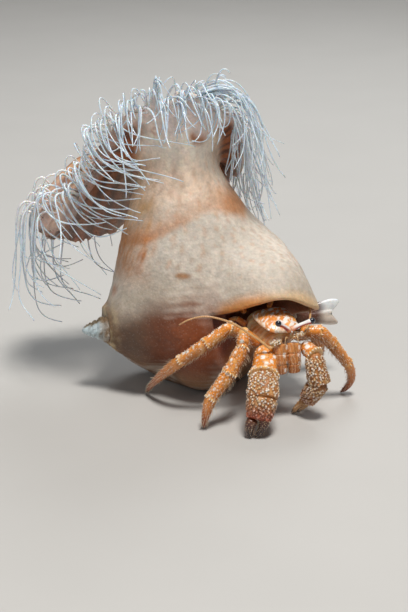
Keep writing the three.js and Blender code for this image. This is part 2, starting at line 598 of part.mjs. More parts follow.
// ---------------------------------------------------------------- eyes, feelers and mouth
function eye(name, base, end) {
  const direction = end.clone().sub(base).normalize();
  const stalkEnd = end.clone().addScaledVector(direction, -0.75 - GAP);
  piece(`eyestalk_${name}`, tube([base, base.clone().lerp(stalkEnd, 0.5), stalkEnd], 0.62, 0.55, 8), "stalk");
  piece(`eye_${name}`, solidOf(new THREE.IcosahedronGeometry(0.8, 1).translate(end.x, end.y, end.z)), "eye");
}
eye("right", V(20.6, -12.6, 23.4), V(18, -14.4, 25.7));
eye("left", V(21.6, -12.2, 23.5), V(26.3, -11.6, 25.4));

const feelers = {
  right: [V(17.6, -13.6, 20.4), V(16, -14.8, 19.6), V(14, -15.4, 21.3), V(11.1, -16, 23.6), V(7.5, -16.4, 26.2), V(3.8, -16.8, 27.8),
    V(0.2, -17, 28.5), V(-3.4, -16.6, 27.6), V(-6, -16, 26)],
  left: [V(22.6, -11.6, 21.6), V(24.2, -11.4, 21.8), V(25.4, -9.4, 23), V(26.2, -6, 24.4), V(26.2, -2.4, 25.6), V(25.4, 1.2, 26.8),
    V(24, 4.6, 27.6)],
};
const smallFeelers = {
  right: [V(20.4, -12.9, 21.4), V(19.9, -14.6, 22.2), V(19.6, -15.6, 20.6)],
  left: [V(21.9, -12.7, 21.4), V(22.6, -14.3, 22.2), V(23, -15.2, 20.6)],
};
for (const [side, points] of Object.entries(smallFeelers)) piece(`small_feeler_${side}`, tube(points, 0.35, 0.25, 5), "flagellum");
for (const [side, points] of Object.entries(feelers)) piece(`feeler_${side}`, tube(points, 0.42, 0.26, 6), "flagellum");

const mouthparts = { right: [V(18.9, -12.2, 17.8), V(18.9, -13.6, 12.4)], left: [V(22, -11.3, 17.8), V(22.2, -12.7, 12.4)] };
for (const [side, [from, to]] of Object.entries(mouthparts)) {
  const shape = { up: V(0, 1, 0), wide: [1.5, 1.25], high: [1.2, 1], sides: 10 };
  const run = to.clone().sub(from).normalize();
  limbPiece(`mouthpart_${side}`, () => stretch(from, to, run, run, shape), "orange", [thoraxGrown, ...armsGrown]);
}

// The frame's origin is the middle of the underside.
const bounds = new THREE.Box3().setFromObject(model);
const middle = bounds.getCenter(V(0, 0, 0));
model.position.set(-middle.x, -middle.y, 0);

export default model;
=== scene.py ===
# %% [markdown]
# # A deep-water hermit crab in its living house
# The crab is orange with white spots. It has moved into a coiled snail shell that a sea anemone cloaks and
# makes larger. The anemone's column and crown of tentacles stand above the crab. Everything is first laid
# out in millimetres round the animal, then moved into the shared frame in metres. The right eye is known in
# both systems, so it gives the move.
# %% Set-up
import bpy
import numpy as np
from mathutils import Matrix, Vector


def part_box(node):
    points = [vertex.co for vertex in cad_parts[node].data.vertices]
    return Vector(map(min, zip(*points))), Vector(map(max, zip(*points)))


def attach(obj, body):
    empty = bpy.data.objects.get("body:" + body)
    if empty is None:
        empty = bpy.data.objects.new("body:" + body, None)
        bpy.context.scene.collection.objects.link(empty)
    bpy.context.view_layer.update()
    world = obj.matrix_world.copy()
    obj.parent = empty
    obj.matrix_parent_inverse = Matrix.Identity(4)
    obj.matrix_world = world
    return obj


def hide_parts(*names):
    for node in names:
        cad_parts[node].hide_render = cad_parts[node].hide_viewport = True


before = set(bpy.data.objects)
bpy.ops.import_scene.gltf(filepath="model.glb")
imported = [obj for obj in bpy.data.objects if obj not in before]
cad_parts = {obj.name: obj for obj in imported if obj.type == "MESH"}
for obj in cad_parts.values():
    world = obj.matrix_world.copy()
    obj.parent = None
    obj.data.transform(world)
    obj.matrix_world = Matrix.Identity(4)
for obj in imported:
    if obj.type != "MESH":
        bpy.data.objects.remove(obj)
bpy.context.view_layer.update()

RNG = np.random.default_rng(11)
RIGHT_EYE = np.array([18.0, -14.4, 25.7])
SHIFT = np.array(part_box("eye_right")).mean(axis=0) * 1000 - RIGHT_EYE
UP = np.array([0.0, 0.0, 1.0])
PIECES = {}
print("frame shift in mm:", SHIFT.round(2))

# %% [markdown]
# ## Small functions for shapes and colours
# Skin, shell and limbs change softly from one place to the next. A ramp eases from 0 to 1, a mix blends two
# colours by such a share, and waves add uneven values. A few sine waves in turned directions look as
# natural as noise, and the same seed gives the same marks each time. Tables of a few rows are read smoothly
# in between.
# %% Ramps, mixes and waves
def unit(vectors):
    """Vectors of length one."""
    return vectors / np.maximum(np.linalg.norm(vectors, axis=-1, keepdims=True), 1e-9)


def ramp(x, low, high):
    """0 below low, 1 above high, smooth in between: t squared times (3 - 2 t)."""
    t = np.clip((x - low) / (high - low), 0, 1)
    return t * t * (3 - 2 * t)


def mix(a, b, t):
    """Colours from a to b as t runs from 0 to 1; t has one number for each colour."""
    t = np.asarray(t)[..., None]
    return np.asarray(a) * (1 - t) + np.asarray(b) * t


def srgb(r, g, b):
    """A colour given as screen values 0 to 255, as linear numbers."""
    c = np.array([r, g, b]) / 255
    return np.where(c < 0.04045, c / 12.92, ((c + 0.055) / 1.055) ** 2.4)


def blob(points, centre, sizes):
    """1 at the centre, falling softly to 0 over the sizes given along X, Y and Z."""
    return np.exp(-np.sum(((points - centre) / np.array(sizes)) ** 2, axis=-1))


def waves(points, scale, seed, octaves=3):
    """Smooth uneven values near -1..1: a few sine waves in turned directions, each finer and weaker."""
    rng = np.random.default_rng(seed)
    total = np.zeros(points.shape[:-1])
    for octave in range(octaves):
        for _ in range(3):
            direction = unit(rng.normal(size=3)) * scale * 2 ** octave
            total += np.sin(points @ direction + rng.uniform(0, 6.28)) / (1.7 * 1.9 ** octave)
    return total / 1.8


def smooth_rows(table, t):
    """Every column of a table at places t, smooth through the rows (Hermite pieces with central slopes)."""
    x = table[:, 0]
    slope = np.gradient(table[:, 1:], x, axis=0)
    i = np.clip(np.searchsorted(x, t) - 1, 0, len(x) - 2)
    h = x[i + 1] - x[i]
    s = np.clip((t - x[i]) / h, 0, 1)[..., None]
    p, q = table[i, 1:], table[i + 1, 1:]
    m, n = slope[i] * h[..., None], slope[i + 1] * h[..., None]
    near = (2 * s**3 - 3 * s**2 + 1) * p + (s**3 - 2 * s**2 + s) * m
    return near + (3 * s**2 - 2 * s**3) * q + (s**3 - s**2) * n


print("halfway up a ramp:", ramp(0.5, 0, 1))
print("middle grey as a linear number:", srgb(128, 128, 128)[0].round(3))

# %% [markdown]
# ## Grids and tubes
# Legs, bristles, tentacles and the shell are all tubes: one number runs along the part and another runs
# round it. A tube could be swept with ready-made curve tools, but a grid of points also carries the colour,
# the bumps and the roots of hairs. Closed ends are fans that meet at one pole.
# %% Tubes
def circle(sides):
    """Angles once round, without a last one on top of the first."""
    return np.linspace(0, 2 * np.pi, sides, endpoint=False)


def round_grid(values, sides):
    """Each value with each angle round, as two arrays (ring, side)."""
    return np.meshgrid(values, circle(sides), indexing="ij")


def grid_faces(rings, sides):
    """Quads of a tube of rings, closed round."""
    i, j = np.meshgrid(np.arange(rings - 1), np.arange(sides), indexing="ij")
    a = i * sides + j
    b = i * sides + (j + 1) % sides
    return np.stack([a, b, b + sides, a + sides], -1).reshape(-1, 4)


def closed_tubes(grid):
    """Tubes from points (tube, ring, side, xyz), closed by fans to the middle of the first and last ring."""
    count, rings, sides, _ = grid.shape
    poles = grid[:, [0, -1]].mean(axis=2)
    verts = np.concatenate([grid.reshape(count, -1, 3), poles], axis=1)
    stride = rings * sides + 2
    j = np.arange(sides)
    k = (j + 1) % sides
    first = np.stack([k, j, np.full(sides, stride - 2)], -1)
    last = np.stack([j, k, np.full(sides, stride - 1)], -1) + np.array([(rings - 1) * sides] * 2 + [0])
    offsets = (np.arange(count) * stride)[:, None, None]
    quads = (grid_faces(rings, sides)[None] + offsets).reshape(-1, 4)
    tris = (np.concatenate([first, last])[None] + offsets).reshape(-1, 3)
    return verts.reshape(-1, 3), quads, tris


def one_tube(grid, colour):
    """One closed tube as (points, quads, triangles, colours). A pole takes a colour of the ring beside it."""
    return (*closed_tubes(grid[None]), np.concatenate([colour.reshape(-1, 3), colour[0, :1], colour[-1, :1]]))


def ring_values(values, sides, count=1):
    """One value for each ring, handed to all points of closed_tubes."""
    values = np.asarray(values, float)
    return np.tile(np.concatenate([np.repeat(values, sides), values[[0, -1]]]), count)


def tube_grid(paths, radii, sides, flat=None, squash=1.0):
    """Rings of points at right angles to each path: centre + radius * (cos a * n + sin a * b). The tube's own
    steady direction 'flat' keeps the rings from twisting."""
    along = unit(np.gradient(paths, axis=1))
    if flat is None:
        bend = np.cross(paths[:, len(paths[0]) // 2] - paths[:, 0], paths[:, -1] - paths[:, 0])
        flat = unit(bend + 1e-4 * np.array([0.3, 0.5, 0.8]))
    flat = np.broadcast_to(np.asarray(flat, float), (len(paths), 3))[:, None, :]
    side = unit(np.cross(along, flat))
    top = np.cross(side, along)
    a = circle(sides)[:, None]
    ring = np.cos(a) * side[:, :, None, :] + squash * np.sin(a) * top[:, :, None, :]
    return paths[:, :, None, :] + radii[:, :, None, None] * ring


def join(parts):
    """Several (points, quads, triangles, colours) as one."""
    counts = np.cumsum([0] + [len(p[0]) for p in parts])
    verts, tint = (np.concatenate([p[column] for p in parts]) for column in (0, 3))
    quads, tris = (np.concatenate([p[column] + c for p, c in zip(parts, counts)]) for column in (1, 2))
    return verts, quads, tris, tint


print("a tube of 10 rings and 8 sides has", len(grid_faces(10, 8)), "quads and 16 triangles")

# %% [markdown]
# ## From arrays to an object
# An object could be built vertex by vertex, but whole arrays go in faster. Colours are worked out for each
# vertex and kept in an attribute named tint, so that a material can add fine speckle and grain to them.
# %% Objects
def make_object(name, verts, quads, tris, tint, slot, nodes):
    """A smooth-shaded mesh from points in mm with its colours. It is noted with its slot and the nodes that
    it stands for."""
    corners = np.concatenate([quads.ravel(), tris.ravel()])
    sizes = np.repeat([4, 3], [len(quads), len(tris)])
    mesh = bpy.data.meshes.new(name)
    mesh.vertices.add(len(verts))
    mesh.vertices.foreach_set("co", ((verts + SHIFT) / 1000).astype(np.float32).ravel())
    mesh.loops.add(len(corners))
    mesh.loops.foreach_set("vertex_index", corners.astype(np.int32))
    mesh.polygons.add(len(sizes))
    mesh.polygons.foreach_set("loop_start", np.concatenate([[0], np.cumsum(sizes)[:-1]]).astype(np.int32))
    mesh.update(calc_edges=True)
    mesh.shade_smooth()
    rgba = np.ones((len(verts), 4), np.float32)
    rgba[:, :3] = tint
    mesh.attributes.new("tint", "FLOAT_COLOR", "POINT").data.foreach_set("color", rgba.ravel())
    piece = bpy.data.objects.new(name, mesh)
    bpy.context.scene.collection.objects.link(piece)
    PIECES[name] = (piece, slot, nodes)
    print(name, len(verts), "points", len(quads) * 2 + len(tris), "triangles")
    return piece


print("objects are made in metres, at the origin, moved by", (SHIFT / 1000).round(4))

# %% [markdown]
# ## Sizes of the house
# The house is a tube that is swept round an axis and grows by the same ratio in each turn, as every snail
# shell does. The anemone's column stands on it as a stack of ovals, and its crown has a wavy rim. These few
# rows and sizes drive all the rest.
# %% Sizes of the house
APEX = np.array([-31.0, 4.0, 17.0])
YAW, PITCH = np.radians(10.0), np.radians(0.5)
TURN_Z = np.array([[np.cos(YAW), -np.sin(YAW), 0], [np.sin(YAW), np.cos(YAW), 0], [0, 0, 1]])
TURN_Y = np.array([[np.cos(PITCH), 0, -np.sin(PITCH)], [0, 1, 0], [np.sin(PITCH), 0, np.cos(PITCH)]])
SHELL_AXES = TURN_Z @ TURN_Y
TURN_GROWTH = 1.75
WHORL = dict(reach=46.5, offset=13.2, radial=12.3, axial=13.0)
WALL, CLOAK = 1.3, 0.6
OLD_TURNS, NEW_TURNS, ROOM_TURNS = (-760, -170), (-190, 40), (-290, 8)
COLLAR = dict(start=7.1, end=18, narrow=4.2, widening=3.6, over=2.8)
LIP_ANGLE, LIP_SKEW, LIP_DROP, LIP_END = 330.0, 5.0, 6.0, 66
FLANK = dict(point=(2.0, -4.0, 16.0), normal=(0.55, -0.83, 0.0), round=5.0)
COLUMN = np.array([  # height, middle x, middle y, half width, half depth
    [-1, -1, 16.5, 10, 6], [5, -2, 16.5, 18, 9.5], [12, -1.5, 15, 22.3, 13.5], [20, -1.5, 13.5, 23, 17],
    [27, -1.4, 13, 22.1, 18], [34, -2.0, 13, 20.1, 17], [42, -3.3, 13.2, 17.1, 15],
    [50, -5.0, 13.6, 13.2, 12.4], [55, -5.8, 14, 10.8, 10.6], [60, -6.2, 14, 9.1, 9.3],
    [67, -6.6, 13.8, 9.3, 9.4], [80, -7, 13, 10.5, 10],
])
NECK = np.array([-7.0, 14.0])
MOUTH_Z = 63.0
RIM = dict(x=-17.0, y=19.0, wide=28.0, deep=15.5)
RIM_START = -80
RIM_ROWS = np.array([  # turn round the rim in degrees, share of its radius, height
    [-80, 1, 76], [-60, 1, 75.5], [-45, 1, 74.3], [-30, 1, 72], [-15, 1, 67.5], [0, 1, 61], [30, 1, 51],
    [60, 1, 46], [90, 1, 41], [105, 1, 37], [120, 1, 35], [140, 1, 35.5], [160, 1, 38.5], [180, 1, 42],
    [200, 1, 43], [215, 0.94, 43.5], [228, 0.88, 48], [240, 0.90, 57], [252, 0.96, 66.5], [265, 1, 73.5],
    [280, 1, 76],
])
print("column:", COLUMN[:, 3].max() * 2, "mm wide below,", COLUMN[8:, 3].min() * 2, "mm at the neck")

# %% [markdown]
# ## The coil as a field
# Shell and anemone run into each other, and that meeting has no grid of its own. It could be sculpted, or
# joined with booleans, but here a field says how far each point lies outside the body, and the skin is
# where it is zero. Two fields melt together as soft as wax where the smaller one is taken with its crease
# rounded.
# %% The coil
def melt(a, b, k):
    """The smaller of two distances, rounded where they are closer than k."""
    return np.minimum(a, b) - np.maximum(0, k - np.abs(a - b)) ** 2 / (4 * k)


def shell_coordinates(points):
    """Length along the coil's axis, distance from it, and angle round it: 0 front, 90 below, 180 back."""
    local = (points - APEX) @ SHELL_AXES
    radius = np.hypot(local[..., 1], local[..., 2])
    angle = np.degrees(np.arctan2(-local[..., 2], -local[..., 1]))
    return local[..., 0], radius, angle


def tube_distance(axial, radius, turn):
    """Distance outside the coil's oval section at that turn, and the position round the section."""
    g = TURN_GROWTH ** (turn / 360)
    u = (radius - WHORL["offset"] * g) / (WHORL["radial"] * g)
    v = (axial - WHORL["reach"] * g) / (WHORL["axial"] * g)
    oval = np.hypot(u, v)
    return (oval - 1) * WHORL["radial"] * g, v / np.maximum(oval, 1e-6)


def coil_distance(points, oldest, newest, k=4.0):
    """Distance outside the coil between two turns, in degrees before the lip."""
    axial, radius, angle = shell_coordinates(points)
    turn = newest - np.mod(newest - (angle - LIP_ANGLE), 360)
    distance = np.full(axial.shape, 99.0)
    while np.max(turn) > oldest:
        d, _ = tube_distance(axial, radius, turn)
        distance = melt(distance, np.where(turn > oldest, d, 99.0), k)
        turn = turn - 360
    return distance


thickness = 2 * WHORL["radial"] * TURN_GROWTH ** np.array([0.0, -1.0])
print("the coil is", *thickness.round(1), "mm thick at the lip and one turn before")

# %% [markdown]
# ## Column and crown as fields
# The crown is a trumpet: for each direction round the neck it has an underside that flares out to a wavy
# rim and an upper disc that dips to the mouth. Its rim is an oval that rises high at the front and hangs
# low at the left.
# %% Column and crown
def column_distance(points):
    """Distance outside the column's oval sections, which run on up to be cut by the crown's disc."""
    x, y, wide, deep = np.moveaxis(smooth_rows(COLUMN, points[..., 2]), -1, 0)
    oval = np.hypot((points[..., 0] - x) / wide, (points[..., 1] - y) / deep)
    return np.maximum((oval - 1) * np.minimum(wide, deep), COLUMN[0, 0] - points[..., 2])


def rim_degrees(turn):
    """The turn round the rim in degrees, counted from the start of its rows."""
    return np.mod(np.degrees(turn) - RIM_START, 360) + RIM_START


def rim_shape(angle):
    """Radius from the neck's middle, height, and turn of the crown's rim in that direction."""
    c, s = np.cos(angle), np.sin(angle)
    dx, dy = NECK[0] - RIM["x"], NECK[1] - RIM["y"]
    a = (c / RIM["wide"]) ** 2 + (s / RIM["deep"]) ** 2
    b = dx * c / RIM["wide"] ** 2 + dy * s / RIM["deep"] ** 2
    r = (-b + np.sqrt(b * b - a * ((dx / RIM["wide"]) ** 2 + (dy / RIM["deep"]) ** 2 - 1))) / a
    turn = np.arctan2((dy + r * s) / RIM["deep"], (dx + r * c) / RIM["wide"])
    share, z = np.moveaxis(smooth_rows(RIM_ROWS, rim_degrees(turn)), -1, 0)
    frill = 0.55 * np.sin(9 * angle + 1) + 0.35 * np.sin(14 * angle + 4)
    return r * share * (1 + 0.018 * np.sin(7 * angle + 2)), z + frill, turn


def disc_height(share, rim_z):
    """The disc is at the mouth's height in the middle and bends to the rim's as a power of the way out."""
    power = 1.3 + 2.4 * np.clip((MOUTH_Z - rim_z) / 18, 0, 1)
    return MOUTH_Z + (rim_z - MOUTH_Z) * share ** power, power


def crown_faces(points):
    """Distances above the crown's disc, below its underside and beyond its rim."""
    dx, dy = points[..., 0] - NECK[0], points[..., 1] - NECK[1]
    r, angle = np.hypot(dx, dy), np.arctan2(dy, dx)
    rim_r, rim_z, _ = rim_shape(angle)
    s = np.clip(r / rim_r, 0, 1.2)
    disc, power = disc_height(s, rim_z)
    slope = (rim_z - MOUTH_Z) * power * np.maximum(s, 0.05) ** (power - 1) / rim_r
    lean = 1 / np.sqrt(1 + slope ** 2)
    thick = (1.3 + 0.9 * (1 - np.minimum(s, 1))) / lean
    furrow = 0.3 * np.sin(26 * angle + 2 * np.sin(3 * angle)) * s
    return (points[..., 2] - disc) * lean, (disc - thick + furrow - points[..., 2]) * lean, r - rim_r


print("the rim reaches", rim_shape(circle(360))[0].max().round(1), "mm from the neck")

# %% [markdown]
# ## The mouth and the whole skin as a field
# The newest part of the coil ends at the lip. A room is taken out of it, one wall smaller than the coil,
# and so is everything before the lip, so that the crab has its doorway. The edges are rounded with the same
# melting.
# %% Mouth and skin
def past_lip(points):
    """How far a point lies beyond the lip along the coil, beyond the lip's far end, and outside the tube."""
    axial, radius, angle = shell_coordinates(points)
    turn = np.mod(angle - LIP_ANGLE + 180, 360) - 180
    d, around = tube_distance(axial, radius, turn)
    arc = np.radians(np.maximum(radius, 3))
    lip = LIP_DROP * ramp(around, 0.1, 1.0) - LIP_SKEW * np.minimum(0, around + 0.1)
    return (turn - lip) * arc, (turn - LIP_END) * arc, d


def mouth_cut(points):
    """Negative in the room in front of the lip. The belly's flank slants back into it on the left."""
    past, far, d = past_lip(points)
    flank = (np.array(FLANK["point"]) - points) @ unit(np.array(FLANK["normal"]))
    return np.maximum(-melt(-np.maximum(d - 4.5, far), -flank, FLANK["round"]), -past)


def body_distance(points):
    """The anemone's body, solid: coils up to the lip, column and crown run together."""
    above, below, beyond = crown_faces(points)
    newest = np.maximum(coil_distance(points, *NEW_TURNS), past_lip(points)[0])
    coils = melt(coil_distance(points, *OLD_TURNS), newest, 4) - CLOAK
    axial, radius, _ = shell_coordinates(points)
    start = COLLAR["start"]
    past = np.maximum(axial, start) - start
    cone = COLLAR["narrow"] + COLLAR["widening"] * (1 - np.exp(-past / COLLAR["over"]))
    collar = np.maximum(0.8 * (radius - cone), np.maximum(start - axial, axial - COLLAR["end"]))
    house = melt(column_distance(points), melt(coils, collar, 2), 6)
    flare = -melt(-below, -beyond, 0.8)
    return -melt(-melt(house, flare, 5), -above, 0.9)


def drawn_in(points):
    """The points moved right beyond x = 20, so that a shape read there comes out drawn in."""
    moved = np.array(points, float)
    moved[..., 0] += 0.22 * np.maximum(moved[..., 0] - 20, 0)
    return moved


def skin_distance(points):
    """The body with the living room and the mouth taken out, their edges rounded."""
    points = drawn_in(points)
    oldest, newest = ROOM_TURNS
    room = -(coil_distance(points, oldest, newest + LIP_DROP * ramp(points[..., 0], 14, 21), 0.5) + WALL)
    hollow = -melt(-room, mouth_cut(points), 0.7)
    body = body_distance(points) + 0.10 * waves(points, 0.9, 3, 2)
    solid = -melt(-body, -np.maximum(room, hollow), 0.8)
    return np.maximum(solid, 0.02 - points[..., 2])


print("the room is", WALL, "mm smaller than the coil all round, and the cloak adds", CLOAK, "mm")

# %% [markdown]
# ## The skin as a net of points
# The field is sampled on a lattice. Each lattice cell that the surface crosses gets one point, and the
# cells round each crossed lattice edge are joined by a quad. The points are then slid onto the surface
# along the field's slope, so the skin is smooth although the lattice is coarse. A finer lattice would show
# no more and weigh too much.
# %% Surface net
def surface_net(distance, low, high, step):
    """Points and quads of the zero surface of a field inside a box."""
    counts = np.ceil((np.array(high) - low) / step).astype(int) + 1
    axes = [low[i] + step * np.arange(counts[i]) for i in range(3)]
    field = np.empty(counts, np.float32)
    yy, zz = np.meshgrid(axes[1], axes[2], indexing="ij")
    for i, x in enumerate(axes[0]):
        field[i] = distance(np.stack([np.full(yy.shape, x), yy, zz], -1))
    inside = field < 0
    corners = [(a, b, c) for a in (0, 1) for b in (0, 1) for c in (0, 1)]
    total = sum(inside[a:counts[0] - 1 + a, b:counts[1] - 1 + b, c:counts[2] - 1 + c].astype(np.int8)
                for a, b, c in corners)
    cells = np.argwhere((total > 0) & (total < 8))
    number = np.full(tuple(counts - 1), -1, np.int64)
    number[tuple(cells.T)] = np.arange(len(cells))
    values = {c: field[tuple((cells + c).T)] for c in corners}
    place, hits = np.zeros((len(cells), 3)), np.zeros(len(cells))
    for p in corners:
        for q in corners:
            if sum(q) != sum(p) + 1 or sum(abs(a - b) for a, b in zip(p, q)) != 1:
                continue
            crossed = (values[p] < 0) != (values[q] < 0)
            t = np.where(crossed, values[p] / np.where(crossed, values[p] - values[q], 1), 0)
            spot = np.array(p) + t[:, None] * (np.array(q) - np.array(p))
            place += np.where(crossed[:, None], spot, 0)
            hits += crossed
    verts = low + step * (cells + place / hits[:, None])
    quads = []
    for axis in range(3):
        o1, o2 = np.eye(3, dtype=int)[[(axis + 1) % 3, (axis + 2) % 3]]
        ahead = np.roll(inside, -1, axis)
        edges = np.argwhere((inside != ahead)[1:-1, 1:-1, 1:-1]) + 1
        turned = inside[tuple(edges.T)]
        ring = np.stack([number[tuple((edges + o).T)] for o in (-o1 - o2, -o2, np.zeros(3, int), -o1)], -1)
        ring = np.where(turned[:, None], ring, ring[:, ::-1])
        quads.append(ring[(ring >= 0).all(axis=1)])
    return verts, np.concatenate(quads)


def gradient(points, distance, h=0.05):
    """The field's slope by differences."""
    steps = np.eye(3) * h
    return np.stack([(distance(points + s) - distance(points - s)) / (2 * h) for s in steps], -1)


def settle(points, distance, rounds, limit):
    """Slides points onto the zero surface along the field's slope, a little at a time."""
    for _ in range(rounds):
        value, slope = distance(points), gradient(points, distance)
        length = np.maximum(np.linalg.norm(slope, axis=1), 0.3)
        points = points - slope * np.clip(value / length, -limit, limit)[:, None] / length[:, None]
    return points


NET_STEP = 0.50
NET_LOW, NET_HIGH = np.array([-47.0, -16.0, -0.8]), np.array([33.5, 38.0, 80.0])
skin_verts, skin_quads = surface_net(skin_distance, NET_LOW, NET_HIGH, NET_STEP)
skin_verts = settle(skin_verts, skin_distance, 2, 0.35 * NET_STEP)
print("skin:", len(skin_verts), "points")

# %% [markdown]
# ## The skin's colours
# The cloak is beige and peach with a darker belly, partly its own brown and partly painted shade under the
# bulge. A brown band runs aslant where the column meets the house, and the lip is golden. The room behind the
# lip is painted dark as shade, and the crown's underside is orange-brown with streaks, partly painted shade.
# The left side is painted russet shade, and the front of the crown's wall is painted light. The marks could
# be painted on a map by hand. Here they are smooth functions of place, so each can be moved by changing a
# number.
# %% Skin colours
def crown_colour(c, p, uneven):
    """Adds the crown's brown underside with its streaks, partly painted shade, painted light on the front of
    the wall, the pale margin, the disc, darker on the left partly as painted shade, and a few marks.
    """
    above, below, _ = crown_faces(p)
    dx, dy = p[:, 0] - NECK[0], p[:, 1] - NECK[1]
    r, a = np.hypot(dx, dy), np.arctan2(dy, dx)
    outward = r / rim_shape(a)[0]
    streak = ramp(np.sin(46 * a + 1.5 * np.sin(5 * a)) + 0.5 * uneven, -0.6, 0.9)
    disc = ramp(0.5 - np.abs(above), 0, 0.3)
    under = ramp(2.6 - below, 0, 2.2) * (1 - disc) * ramp(r, 9, 12.5)
    flank = ramp(np.abs(np.cos(a) + 0.12), 0.3, 0.75)
    # The underside's orange-brown is partly its own colour and partly painted shade, mostly on the flanks.
    brown = mix(srgb(176, 98, 46), srgb(88, 40, 14), 0.25 + 0.75 * streak)
    # Painted light: the front of the wall below the rim is lifted to a lit cream.
    c = mix(c, srgb(252, 240, 226), 0.85 * ramp(p[:, 2], 57, 65) * ramp(-np.sin(a), 0.2, 0.7))
    c = mix(c, brown, under * 0.98 * flank)
    for spot, size, share in (([-19.3, 10, 61.5], [1.6, 4, 1.9], 0.9), ([-6.6, 4, 68.9], [2.0, 4, 0.8], 0.8),
                              ([-1.2, 5.5, 67.2], [2.6, 5, 2.4], 0.9), ([-22, 9, 64.5], [1.8, 4, 1.2], 0.6)):
        c = mix(c, srgb(176, 100, 40), share * ramp(blob(p, spot, size) + 0.3 * uneven, 0.25, 0.9))
    ring = np.hypot(p[:, 0] + 11.7, p[:, 2] - 68.6)
    mark = np.exp(-((ring - 0.9) / 0.35) ** 2) * ramp(10 - p[:, 1], 0, 2)
    c = mix(c, srgb(196, 140, 110), 0.7 * mark)
    left = ramp(-p[:, 0], 15, 25)
    c = mix(c, mix(srgb(228, 204, 182), srgb(190, 132, 92), streak * 0.6), disc * 0.9)
    # Partly painted shade: the disc turns a darker orange-brown on the left lobe.
    c = mix(c, mix(srgb(204, 150, 106), srgb(132, 72, 38), streak), disc * 0.75 * left)
    margin = ramp(outward, 0.84 - 0.14 * (p[:, 0] < -20), 0.97)
    margin = margin * ramp(3.5 - np.minimum(np.abs(above), np.abs(below)), 0, 1)
    return mix(c, srgb(244, 226, 218), margin * (1 - 0.6 * ramp(np.sin(a), 0.3, 0.8)) * (0.9 - 0.5 * left))


def skin_colour(p):
    """Linear colour of the anemone at points p. Each line lays one mark over those before it."""
    p = drawn_in(p)
    x, y, z = p[:, 0], p[:, 1], p[:, 2]
    past, _, d = past_lip(p)
    to_lip = -past
    uneven = waves(p, 0.35, 5)
    fine = waves(p * [1, 1, 0.25], 3.2, 6, 2)
    lines = 0.3 * np.sin(3.1 * to_lip + 3 * uneven) - 0.9 * fine
    front = ramp(10 - y, 0, 10)
    fine = fine + lines * ramp(38 - z, 0, 6) * front
    # belly, cream hood and pale neck. The belly is dark brown, partly its own colour and partly painted shade
    # under the bulge, red-brown in front, with painted light along its lowest edge.
    c = mix(srgb(138, 102, 74), srgb(96, 70, 52), ramp(z + 1.5 * uneven, 5, 12))
    c = mix(c, srgb(122, 62, 28), 0.85 * ramp(z, 7, 14) * ramp(x, -18, -9) * front)
    # Painted shade: the cream hood darkens downwards towards the darker belly.
    cream = mix(srgb(184, 171, 155), srgb(203, 193, 180), ramp(z, 28, 40))
    border = z - 0.45 * np.minimum(x, 0) + 2 * np.maximum(x - 3, 0) + uneven
    c = mix(c, cream, ramp(border, 26.5, 35))
    c = mix(c, srgb(246, 220, 196), ramp(z + 1.5 * uneven, 45, 54) * 0.9)
    c = mix(c, srgb(226, 214, 200), 0.5 * ramp(uneven + 0.6 * fine, 0.1, 0.9))
    c = mix(c, srgb(196, 146, 106), 0.35 * ramp(-fine, 0.15, 0.9))
    # the russet left side, painted shade on the side away from the lamp up to the neck, and the slanting band
    side = -x - 0.45 * y + 0.2 * np.maximum(z - 34, 0) + 2 * fine
    russet_shade = mix(srgb(184, 120, 64), srgb(214, 170, 124), ramp(z, 36, 48))
    c = mix(c, russet_shade, ramp(side, 12, 19) * ramp(z, 28, 35) * ramp(66 - z, 0, 8) * (0.75 + 0.3 * fine))
    band_line = 50 - 0.5 * (np.hypot(x - 3, 4) - 4)
    right = ramp(x, -6, 7)
    over = z - band_line + 0.8 + 0.6 * uneven
    band = ramp(over, -1.8, 0.2) * ramp(5.5 + 2.2 * right - over, 0, 6) * ramp(57 - z, 0, 4)
    c = mix(c, srgb(190, 126, 74), band * (0.62 + 0.08 * right + 0.25 * uneven))
    c = mix(c, srgb(190, 146, 96), 0.75 * blob(p, [-15.0, 4.4, 49.3], [3, 4, 1.9]))
    # the oval mark, and the ridges round the spire
    oval = blob(p, [-5.3, -3.8, 34.2], [2.3, 3, 0.95]) + 0.1 * fine
    c = mix(c, srgb(164, 112, 62), 0.85 * ramp(oval, 0.25, 0.8))
    ridge = ramp(waves(p * [1.6, 0.5, 1.0], 1.5, 8, 2), -0.3, 0.6)
    ridges = mix(srgb(120, 92, 60), srgb(196, 172, 130), ridge)
    c = mix(c, ridges, 0.8 * ramp(-x, 20, 24) * ramp(26 - z, 0, 5))
    # the golden lip, the belly beside it, and the room behind it painted dark as shade
    c = mix(c, srgb(158, 92, 40), 0.8 * ramp(blob(p, [6, -21, 33], [5, 7, 1.8]) + 0.2 * uneven, 0.2, 0.8))
    near_lip = (1 - ramp(to_lip + 0.5 * uneven, 0.5, 4.5)) * ramp(3 - d, 0, 2) * front
    near_lip = near_lip * ramp(34 - z, 0, 4) * ramp(x, -16, 4)
    c = mix(c, mix(srgb(206, 132, 50), srgb(214, 180, 136), ramp(x, 11, 20)), near_lip * 0.9)
    belly = ramp(-to_lip, -3, 4) * ramp(-to_lip, 60, 20) * ramp(26 - z, 0, 4) * ramp(x, -15, -1)
    c = mix(c, srgb(144, 74, 34), belly * 0.85 * ramp(z, 3, 14) * front)
    # Painted shade: the room is dark brown, darkest high up under the lip and lighter towards the right.
    inner = ramp(-body_distance(p), 0.5, 1.1) * ramp(34 - z, 0, 3)
    room = mix(srgb(132, 62, 32), srgb(78, 36, 20), ramp(z, 20, 27))
    c = mix(c, mix(room, srgb(158, 104, 76), ramp(x + 0.6 * y, 19, 32)), inner)
    return np.clip(crown_colour(c, p, uneven), 0, 1)


